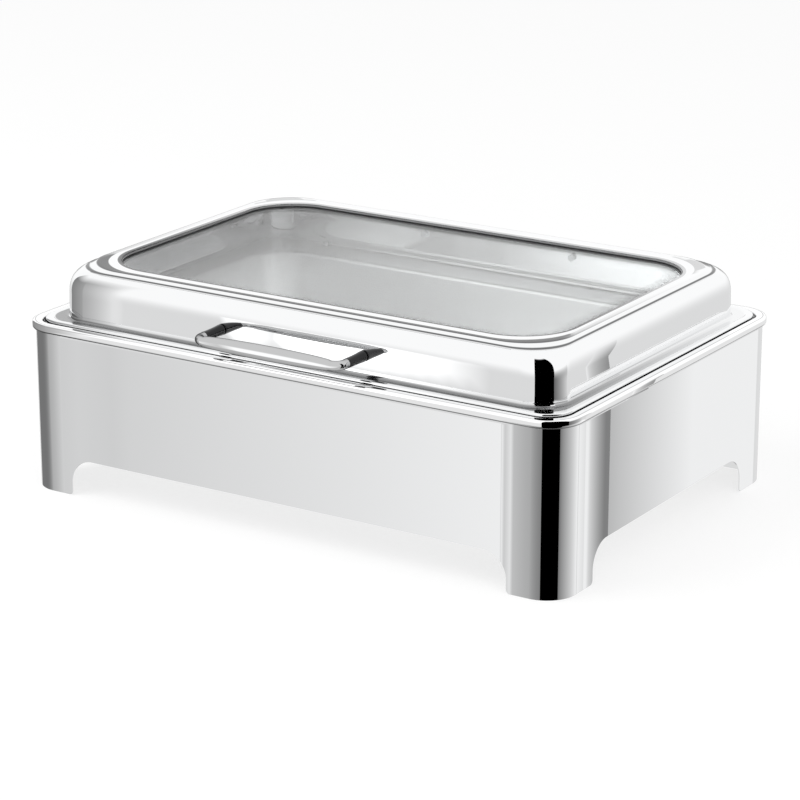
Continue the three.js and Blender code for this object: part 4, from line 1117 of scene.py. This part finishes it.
    def build_glass(self) -> None:
        """Models the pane with its ground edges and its border tinted grey."""
        pane, out, ease = self.pane, self.glass_lap, self.glass_ease
        low, high = self.glass_bottom, self.glass_top
        rings = [pane.moved(u, low, border) for u, border in self.border_steps]
        rings += [
            pane.moved(out - ease, low, 1.0),
            pane.moved(out, low + ease, 1.0),
            pane.moved(out, high - ease, 1.0),
            pane.moved(out - ease, high, 1.0),
        ]
        rings += [pane.moved(u, high, border) for u, border in reversed(self.border_steps)]
        loft = Loft(rings[0], steps=24, capped=True)
        loft.through(rings[1:])
        loft.cap()
        Bench.finish("window_pane", Finishes.GLASS, Slot.GLASS, Body.LID, ("lid_glass",))

    def build_seal(self) -> None:
        """Models the rubber channel round the pane."""
        pane = self.pane
        low, high = self.glass_bottom - 1.5, self.glass_top + 1.5
        loft = Loft(pane.moved(-1, low + 0.3), steps=20)
        loft.through([
            pane.moved(-0.7, low),
            pane.moved(5.3, low),
            pane.moved(5.8, low + 0.5),
            pane.moved(5.8, high - 0.5),
            pane.moved(5.3, high),
            pane.moved(-0.7, high),
            pane.moved(-1, high - 0.3),
            pane.moved(-1, high - 1.2),
            pane.moved(4.3, high - 1.2),
            pane.moved(4.3, low + 1.2),
            pane.moved(-1, low + 1.2),
        ])
        loft.join()
        Bench.finish("window_seal", Finishes.SEAL, Slot.DARK_RUBBER, Body.LID, ("glass_gasket",))

    def build_retainer(self) -> None:
        """Models the pressed frame that holds the pane up."""
        pane, reach = self.pane, self.retainer_reach
        flange = Ring(self.wall_x - reach, self.wall_y - reach, self.crease_corner, 0)
        low, high, thick = self.retainer_low, self.retainer_high, self.sheet
        loft = Loft(pane.moved(3.1, low), steps=20)
        loft.through([
            pane.moved(5.6, low),
            pane.moved(6.1, low + 0.5),
            pane.moved(6.1, high - 0.5),
            pane.moved(6.6, high),
            flange.moved(0, high, corner=self.crease_corner),
            flange.moved(0, high - thick, corner=self.crease_corner),
            pane.moved(7.8, high - thick),
            pane.moved(7.3, high - thick - 0.5),
            pane.moved(7.3, low - thick + 0.5),
            pane.moved(6.8, low - thick),
            pane.moved(3.1, low - thick),
        ])
        loft.join()
        Bench.finish(
            "window_retainer", Finishes.SATIN, Slot.SATIN, Body.LID, ("glass_retainer",)
        )

    def build(self) -> None:
        """Models the lid's pieces."""
        self.build_shell()
        self.build_glass()
        self.build_seal()
        self.build_retainer()


@dataclass
class Handle:
    """The front handle: slim legs bent into a bar that swells, and its two collars. Millimetres."""

    half_span: float = 78.0
    reach_y: float = -224.0
    height: float = 186.0
    end_radius: float = 4.5
    mid_tall: float = 7.2
    mid_deep: float = 5.0
    bend: float = 9.0
    foot_y: float = -184.95
    collar_length: float = 26.8
    collar_base: float = 5.3
    collar_neck: float = 4.7

    def swell(self, x: float) -> float:
        """How far the bar has swelled at a place, from 0 to 1."""
        share = min(abs(x) / (self.half_span - self.bend), 1.0)
        return math.cos(share * math.pi / 2) ** 0.45 if share < 1 else 0.0

    def build_bar(self) -> None:
        """Models the right half from its collar to the middle, then mirrors it."""
        start = self.foot_y - self.collar_length - 0.2
        Bench.clear()
        where = Vector((self.half_span, start, self.height)) * MM
        bpy.ops.mesh.primitive_circle_add(
            vertices=28,
            radius=self.end_radius * MM,
            fill_type="NGON",
            location=where,
            rotation=(math.pi / 2, 0, 0),
        )
        Bench.edit()
        centre_x = self.half_span - self.bend
        centre_y = self.reach_y + self.bend
        here, turned = where, 0.0
        for step in range(1, 13):
            angle = math.pi / 2 * step / 12
            there = Vector((
                centre_x + self.bend * math.cos(angle),
                centre_y - self.bend * math.sin(angle),
                self.height,
            )) * MM
            bpy.ops.mesh.extrude_edges_move(TRANSFORM_OT_translate={"value": there - here})
            bpy.ops.transform.rotate(
                value=angle - turned, orient_axis="Z", center_override=there
            )
            here, turned = there, angle
        tall = deep = self.end_radius
        for share in (0.97, 0.92, 0.85, 0.76, 0.66, 0.55, 0.44, 0.33, 0.22, 0.11, 0.0):
            there = Vector((centre_x * share, self.reach_y, self.height)) * MM
            grow = self.swell(centre_x * share)
            next_tall = self.end_radius + (self.mid_tall - self.end_radius) * grow
            next_deep = self.end_radius + (self.mid_deep - self.end_radius) * grow
            bpy.ops.mesh.extrude_edges_move(TRANSFORM_OT_translate={"value": there - here})
            bpy.ops.transform.resize(
                value=(1, next_deep / deep, next_tall / tall), center_override=there
            )
            here, tall, deep = there, next_tall, next_deep
        bpy.ops.object.mode_set(mode="OBJECT")
        bpy.ops.object.transform_apply(location=True, rotation=True, scale=True)
        Bench.modifier("MIRROR", use_clip=True, merge_threshold=1e-5)
        # The bar's darker steel is painted reflection.
        Bench.finish(
            "handle_grip", Finishes.HANDLE_PAINTED_DARK, Slot.POLISHED, Body.LID, ("handle_bar",), 40
        )

    def build_collars(self) -> None:
        """Models a flared collar on each leg."""
        tip = self.foot_y - self.collar_length
        base, neck = self.collar_base, self.collar_neck
        for side, name in ((-1, "left"), (1, "right")):
            Turned(
                (side * self.half_span, 0, self.height),
                [
                    (neck * 0.92, tip),
                    (neck * 0.98, tip + 0.3),
                    (neck, tip + 0.8),
                    (neck, tip + 8),
                    (neck + 0.1, tip + 15),
                    (base - 0.3, tip + 20),
                    (base - 0.1, tip + 23),
                    (base, tip + 25),
                    (base, self.foot_y - 0.5),
                    (base - 0.5, self.foot_y),
                ],
            )
            # The collars' near-black finish is painted reflection.
            Bench.finish(
                f"handle_collar_turned_{name}",
                Finishes.COLLAR_PAINTED_DARK,
                Slot.POLISHED,
                Body.LID,
                (f"handle_collar_{name}",),
            )

    def build(self) -> None:
        """Models the handle's pieces."""
        self.build_bar()
        self.build_collars()


@dataclass
class Controls:
    """The knob and the pilot lamp on the rear panel. Millimetres."""

    knob: tuple[float, float, float] = (57.0, 209.0, 84.0)
    lamp: tuple[float, float, float] = (12.0, 207.7, 84.0)
    skirt: float = 21.0
    grip: float = 16.4
    height: float = 20.0
    flutes: int = 12
    flute_depth: float = 1.0
    recess: float = 4.9
    recess_depth: float = 4.6

    def build_knob(self) -> None:
        """Models the knob with its recess, skirt, tapered grip and dished face."""
        skirt, grip, tall = self.skirt, self.grip, self.height
        sides = self.flutes * 8
        Turned(
            self.knob,
            [
                (self.recess, self.recess_depth), (self.recess, 0.3), (self.recess + 0.4, 0.0),
                (skirt - 0.6, 0.0), (skirt, 0.6), (skirt, 2.6), (skirt - 0.5, 3.4),
                (skirt - 1.4, 3.9), (grip + 1.2, 4.1), (grip + 0.5, 4.5), (grip + 0.2, 5.4),
                (grip, 9.0), (grip - 0.2, 14.0), (grip - 0.35, tall - 1.8),
                (grip - 0.7, tall - 0.9), (grip - 1.5, tall - 0.2), (grip - 2.4, tall),
                (grip - 3.0, tall - 0.1), (grip - 4.0, tall - 0.6), (grip - 8.0, tall - 1.0),
                (1.5, tall - 1.1),
            ],
            sides=sides,
        )
        mesh = Bench.mesh()
        centre = Vector(self.knob) * MM
        base = bpy.context.object.matrix_world
        for share, offsets in ((1.0, (0,)), (0.8, (1, 7)), (0.3, (2, 6))):
            for vert in mesh.verts:
                place = base @ vert.co - centre
                turn = math.atan2(place.z, place.x) / (2 * math.pi) * sides
                along = place.y / MM
                radius = math.hypot(place.x, place.z) / MM
                on_grip = 5.0 < along < tall - 0.5 and radius > grip - 2
                vert.select_set(on_grip and round(turn) % 8 in offsets)
            mesh.select_flush_mode()
            Bench.show()
            ratio = 1 - share * self.flute_depth / grip
            Turned.swell(ratio, centre)
        Bench.finish(
            "knob_fluted", Finishes.BLACK, Slot.BLACK, Body.KNOB, ("thermostat_knob",), 35
        )
        x, y, z = self.knob
        Bench.clear()
        bpy.ops.mesh.primitive_cube_add(
            size=1, location=(x * MM, (y + tall - 0.62) * MM, (z + self.grip * 0.62) * MM)
        )
        Bench.edit()
        bpy.ops.transform.resize(
            value=(1.7 * MM, 1.2 * MM, 7.6 * MM),
            center_override=bpy.context.object.location,
        )
        bpy.ops.mesh.bevel(offset=0.25 * MM, segments=2, affect="EDGES")
        Bench.finish("knob_pointer", Finishes.MARK, Slot.BLACK, Body.KNOB, ())

    def build_lamp(self) -> None:
        """Models the lamp's barrel, bezel and domed lens."""
        Turned(
            self.lamp,
            [
                (4.6, -15.6), (4.9, -15.3), (4.9, 0.1), (5.7, 0.1), (5.8, 0.3), (5.8, 0.9),
                (5.5, 1.3), (4.7, 1.5), (4.4, 1.8), (4.3, 2.6), (3.9, 3.5), (3.1, 4.2),
                (1.9, 4.6), (0.7, 4.7),
            ],
        )
        Bench.finish("lamp_lens", Finishes.LENS, Slot.RED, Body.BASE, ("pilot_lamp",))

    def build(self) -> None:
        """Models the rear panel's fittings."""
        self.build_knob()
        self.build_lamp()


class CadFinishes:
    """Procedural finishes on the CAD nodes that stay in view."""

    @staticmethod
    def dress() -> None:
        """Assigns each node's finish from its slot in the record."""
        for part in frame["record"]["subparts"]:
            node = frame["nodes"].get(part["node"])
            if node is None:
                continue
            material = Finishes.BY_SLOT[Slot(part["material_slot"])].material()
            if not node.material_slots:
                node.data.materials.append(material)
            for place in node.material_slots:
                place.material = material


# Studio


def fade(
    start: float, end: float, first: float, last: float, bend: float = 1.0
) -> list[tuple[float, float, float]]:
    """The stops of a stretch of card that runs evenly from one tone to another.

    Args:
        start: the place where it begins.
        end: the place where it ends.
        first: the tone at its start, from 0 for black to 1 for white.
        last: the tone at its end.
        bend: under 1 most of the change is near the start, over 1 near the end.

    Returns:
        The stops, both ends included.
    """
    steps = 1 if first == last else 8
    return [
        (start + (end - start) * step / steps, first + (last - first) * (step / steps) ** bend, 1.0)
        for step in range(steps + 1)
    ]


@dataclass
class Card:
    """A studio card with soft edges, which only polished surfaces show.

    Each row is a height with its stops: place along the card, the tone that steel shows
    there, where 1 is white and more is a lamp, and how solid the card is.
    """

    name: str
    rows: list[tuple[float, list[tuple[float, float, float]]]]
    spacing: float = 25.0
    steel: float = 0.86

    def strength(self, tone: float) -> float:
        """The light at which polished steel shows a tone."""
        linear = tone / 12.92 if tone <= 0.04045 else ((tone + 0.055) / 1.055) ** 2.4
        return linear / self.steel

    def look(self, stops: list[tuple[float, float, float]], place: float) -> tuple[float, float]:
        """The light and the solidity at a place on a row."""
        if place <= stops[0][0]:
            return self.strength(stops[0][1]), stops[0][2]
        for (a, tone_a, veil_a), (b, tone_b, veil_b) in zip(stops, stops[1:]):
            if place <= b:
                share = (place - a) / (b - a)
                tone = tone_a + (tone_b - tone_a) * share
                return self.strength(tone), veil_a + (veil_b - veil_a) * share
        return self.strength(stops[-1][1]), stops[-1][2]

    def places(self) -> list[float]:
        """Every row's stops, and even steps between them."""
        stops = sorted({stop[0] for _, row in self.rows for stop in row})
        result = stops[:1]
        for a, b in zip(stops, stops[1:]):
            count = max(1, math.ceil((b - a) / self.spacing))
            result += [a + (b - a) * step / count for step in range(1, count + 1)]
        return result

    def write(self, layer: str, verts: list, values: list[float]) -> None:
        """Stores one value per vertex under the layer's name."""
        mesh = Bench.mesh()
        store = mesh.verts.layers.float.get(layer) or mesh.verts.layers.float.new(layer)
        mesh.verts.ensure_lookup_table()
        for index, value in zip(verts, values):
            mesh.verts[index][store] = value
        Bench.show()

    def raise_rows(self, line: list[Vector], places: list[float]) -> None:
        """Draws the card's lowest line point by point, raises its rows and stages it.

        Args:
            line: the points of the lowest row, in millimetres.
            places: their places along the card.
        """
        Bench.clear()
        bpy.ops.mesh.primitive_plane_add(size=MM, location=(0, 0, 0))
        Bench.edit()
        bpy.ops.mesh.merge(type="CENTER")
        bpy.ops.transform.translate(value=line[0] * MM)
        for here, there in zip(line, line[1:]):
            bpy.ops.mesh.extrude_region_move(
                TRANSFORM_OT_translate={"value": (there - here) * MM}
            )
        bpy.ops.mesh.select_all(action="SELECT")
        count, before = len(line), self.rows[0][0]
        for row, (height, stops) in enumerate(self.rows):
            if row:
                bpy.ops.mesh.extrude_edges_move(
                    TRANSFORM_OT_translate={"value": (0, 0, (height - before) * MM)}
                )
            before = height
            indexes = list(range(row * count, row * count + count))
            looks = [self.look(stops, place) for place in places]
            self.write("tone", indexes, [look[0] for look in looks])
            self.write("veil", indexes, [look[1] for look in looks])
        bpy.ops.object.mode_set(mode="OBJECT")
        card = bpy.context.object
        card.name = card.data.name = self.name
        card.data.materials.append(self.material())
        card.visible_camera = card.visible_diffuse = False
        card.visible_shadow = card.visible_transmission = False
        LOG.info("%s: %d faces", self.name, len(card.data.polygons))

    @staticmethod
    def material() -> bpy.types.Material:
        """Plain light of the card's own tone, fading out where its veil does."""
        known = bpy.data.materials.get("studio_card")
        if known is not None:
            return known
        made = bpy.data.materials.new("studio_card")
        made.use_nodes = True
        net = Net(made.node_tree)
        tone, veil = net.stored("tone"), net.stored("veil")
        glow = net.node("ShaderNodeEmission", None, {"Color": tone, "Strength": 1.0})
        clear = net.node("ShaderNodeBsdfTransparent")
        net.node("ShaderNodeOutputMaterial", None, {"Surface": net.blend(veil, clear, glow)})
        return made

    def bend_round(self, centre: tuple[float, float], radius: float) -> None:
        """Stands the card on an arc; its places are angles in degrees."""
        places = self.places()
        z = self.rows[0][0]
        line = [Vector((x, y, z)) for x, y in (arc(centre, radius, a, a, 1)[0] for a in places)]
        self.raise_rows(line, places)

    def stand_along(self, start: Vector, way: Vector) -> None:
        """Stands the card along a line; its places are millimetres from the start."""
        places = self.places()
        z = self.rows[0][0]
        self.raise_rows([start + way * place + Vector((0, 0, z)) for place in places], places)


@dataclass
class Studio:
    """Camera, lamps, world, floor and cards."""

    eye: Vector = field(default_factory=lambda: Vector((1.50267, -2.35834, 0.97690)))
    target: Vector = field(default_factory=lambda: Vector((-0.000165, -0.000105, 0.08155)))
    lens: float = 136.638
    room: float = 0.62
    near: tuple[float, float] = (265.0, -176.6)
    left: tuple[float, float] = (-265.0, -176.6)
    card_radius: float = 100.0
    front_y: float = -266.6
    right_x: float = 355.0
    card_foot: float = -75.0
    rim_seam: float = 136.5
    side_seam: float = 115.5
    floor_size: float = 14.0
    floor_z: float = -0.0004
    floor_glow: float = 1.08
    floor_white: float = 0.7
    black: float = 0.0
    dark: float = 0.5
    soft: float = 0.72
    pale: float = 0.93
    lamp: float = 1.25

    def set_camera(self) -> None:
        """The camera at the photograph's angle."""
        data = bpy.data.cameras.new("camera")
        data.sensor_width, data.lens = 36.0, self.lens
        camera = bpy.data.objects.new("camera", data)
        bpy.context.scene.collection.objects.link(camera)
        camera.location = self.eye
        camera.rotation_euler = (self.target - self.eye).to_track_quat("-Z", "Y").to_euler()
        bpy.context.scene.camera = camera

    def set_world(self) -> None:
        """White to the camera, brighter at one side through glass, even light on matt pieces,
        and a pale room with a dark far edge in polished ones."""
        world = bpy.data.worlds.new("studio")
        bpy.context.scene.world = world
        world.use_nodes = True
        net = Net(world.node_tree)
        way = net.node("ShaderNodeTexCoord", output="Generated")
        parts = net.node("ShaderNodeSeparateXYZ", None, {0: way})
        x, y, z = (Wire(net, parts.socket.node.outputs[i]) for i in range(3))
        around = net.node("ShaderNodeMath", {"operation": "ARCTAN2"}, {0: y, 1: x})
        height = z.step(-0.26, 0.16, 0.81, 1.11)
        behind = around.step(1.70, 2.0) * around.step(2.28, 2.62, 1.0, 0.0)
        polished = height * (1 - behind * z.step(0.04, 0.14, 0.68, 0.0))
        inside = around.step(1.5, 2.05, 0.9, 3.0)
        camera = net.node("ShaderNodeLightPath", output="Is Camera Ray")
        through = net.node("ShaderNodeLightPath", output="Is Transmission Ray")
        glossy = net.node("ShaderNodeLightPath", output="Is Glossy Ray")
        seen_inside = through * (1 - camera)
        mirrored = glossy * (1 - camera.larger(through))
        matt = 1 - mirrored.larger(camera).larger(through)
        strength = camera + seen_inside * inside + mirrored * polished + matt * self.room
        back = net.node("ShaderNodeBackground", None, {"Color": rgb(1, 1, 1), "Strength": strength})
        net.node("ShaderNodeOutputWorld", None, {"Surface": back})

    def set_lamps(self) -> None:
        """Two large soft lamps that polished surfaces don't show."""
        for name, place, size, power in (
            ("key_lamp", (-1.6, -1.9, 2.6), 2.4, 52.0),
            ("fill_lamp", (2.2, -1.2, 1.8), 2.4, 22.0),
        ):
            data = bpy.data.lights.new(name, "AREA")
            data.shape, data.size, data.energy = "SQUARE", size, power
            lamp = bpy.data.objects.new(name, data)
            bpy.context.scene.collection.objects.link(lamp)
            lamp.location = place
            lamp.rotation_euler = (-Vector(place)).to_track_quat("-Z", "Y").to_euler()
            lamp.visible_glossy = lamp.visible_transmission = lamp.visible_camera = False

    def set_floor(self) -> None:
        """A pale floor that keeps a soft shadow."""
        Bench.clear()
        bpy.ops.mesh.primitive_plane_add(size=self.floor_size, location=(0, 0, self.floor_z))
        floor = bpy.context.object
        floor.name = "floor"
        made = bpy.data.materials.new("pale_floor")
        made.use_nodes = True
        net = Net(made.node_tree)
        grain = net.noise(30.0, 3.0)
        matt = net.node(
            "ShaderNodeBsdfDiffuse",
            None,
            {"Color": net.mix(grain, rgb(0.93, 0.93, 0.93), rgb(0.95, 0.95, 0.95))},
        )
        glow = net.node(
            "ShaderNodeEmission", None, {"Color": rgb(1, 1, 1), "Strength": self.floor_glow}
        )
        camera = net.node("ShaderNodeLightPath", output="Is Camera Ray")
        mixed = net.blend(camera * self.floor_white, matt, glow)
        net.node("ShaderNodeOutputMaterial", None, {"Surface": mixed})
        floor.data.materials.append(made)
        floor.visible_glossy = False

    def set_cards(self) -> None:
        """The soft and dark cards round the front corners, before the front and at the right."""
        radius, sharp, foot = self.card_radius, 0.1, self.card_foot
        below, above = self.rim_seam - sharp, self.rim_seam + sharp
        black, dark, soft, pale = self.black, self.dark, self.soft, self.pale
        skirt = [
            *fade(-126, -77 - sharp, pale, dark, 0.4),
            *fade(-77, -25, black, black),
            *fade(-25 + sharp, 46, dark - 0.05, pale, 0.7),
        ]
        lid = [
            (-77 - sharp, black, 0),
            *fade(-77, -6, black, black),
            *fade(-6 + sharp, 46, dark - 0.1, soft + 0.1),
        ]
        high = [(-77 - sharp, black, 0), *fade(-77, -6, black, black), (-6 + sharp, black, 0)]
        gone = [(-77, black, 0), (46, black, 0)]
        Card(
            "near_card",
            [(foot, skirt), (below, skirt), (above, lid), (165, lid), (215, high), (470, high), (600, gone)],
            2.0,
        ).bend_round(self.near, radius)
        skirt = [
            *fade(-190, -150, dark - 0.05, dark - 0.05),
            *fade(-150 + sharp, -111.5, dark - 0.05, soft + 0.1, 2.5),
            (-111.5 + sharp, soft, 0),
        ]
        lid = [
            *fade(-190, -118, dark, soft - 0.1),
            *fade(-118 + sharp, -96, soft - 0.1, pale - 0.05),
            (-88, pale, 0),
        ]
        gone = [(-190, dark, 0), (-88, pale, 0)]
        Card(
            "left_card",
            [(foot, skirt), (below, skirt), (above, lid), (250, lid), (330, gone)],
            2.0,
        ).bend_round(self.left, radius)
        front = fade(0, 500, soft + 0.08, pale)
        Card("front_card", [(foot, front), (133.5, front)]).stand_along(
            Vector((-300, self.front_y, 0)), Vector((1, 0, 0))
        )
        right = [
            *fade(-66, -54, pale, pale),
            *fade(-54 + sharp, -16, pale, dark),
            *fade(-16 + sharp, -7.6, dark, dark),
            *fade(-7.6 + sharp, 160, soft, pale, 0.8),
            (300, pale, 1),
        ]
        lid = [(22 - sharp, pale, 0), *fade(22, 66, pale, dark + 0.05, 0.6), (66 + sharp, dark, 0)]
        gone = [(22, pale, 0), (66, dark, 0)]
        below, above = self.side_seam - sharp, self.side_seam + sharp
        Card(
            "right_card",
            [(foot, right), (below, right), (above, lid), (138, lid), (205, gone)],
        ).stand_along(Vector((self.right_x, 0, 0)), Vector((0, 1, 0)))
        strip = [(0, self.lamp, 0), (80, self.lamp, 1), (170, self.lamp, 1), (300, self.lamp, 0)]
        gone = [(0, self.lamp, 0), (300, self.lamp, 0)]
        Card("front_strip", [(149, gone), (160, strip), (184, strip), (193, gone)]).stand_along(
            Vector((-138, self.front_y, 0)), Vector((1, 0, 0))
        )

    def build(self) -> None:
        """Sets up the whole studio."""
        bpy.context.scene.view_settings.view_transform = "Standard"
        self.set_camera()
        self.set_world()
        self.set_lamps()
        self.set_floor()
        self.set_cards()


def main() -> None:
    """Builds the dish and its studio in order."""
    logging.basicConfig(level=logging.INFO, format="%(name)s %(message)s")
    CadFinishes.dress()
    for assembly in (Stand(), Pans(), Lid(), Handle(), Controls(), Studio()):
        assembly.build()
        LOG.info("%s done", type(assembly).__name__)


if __name__ == "__main__":
    main()
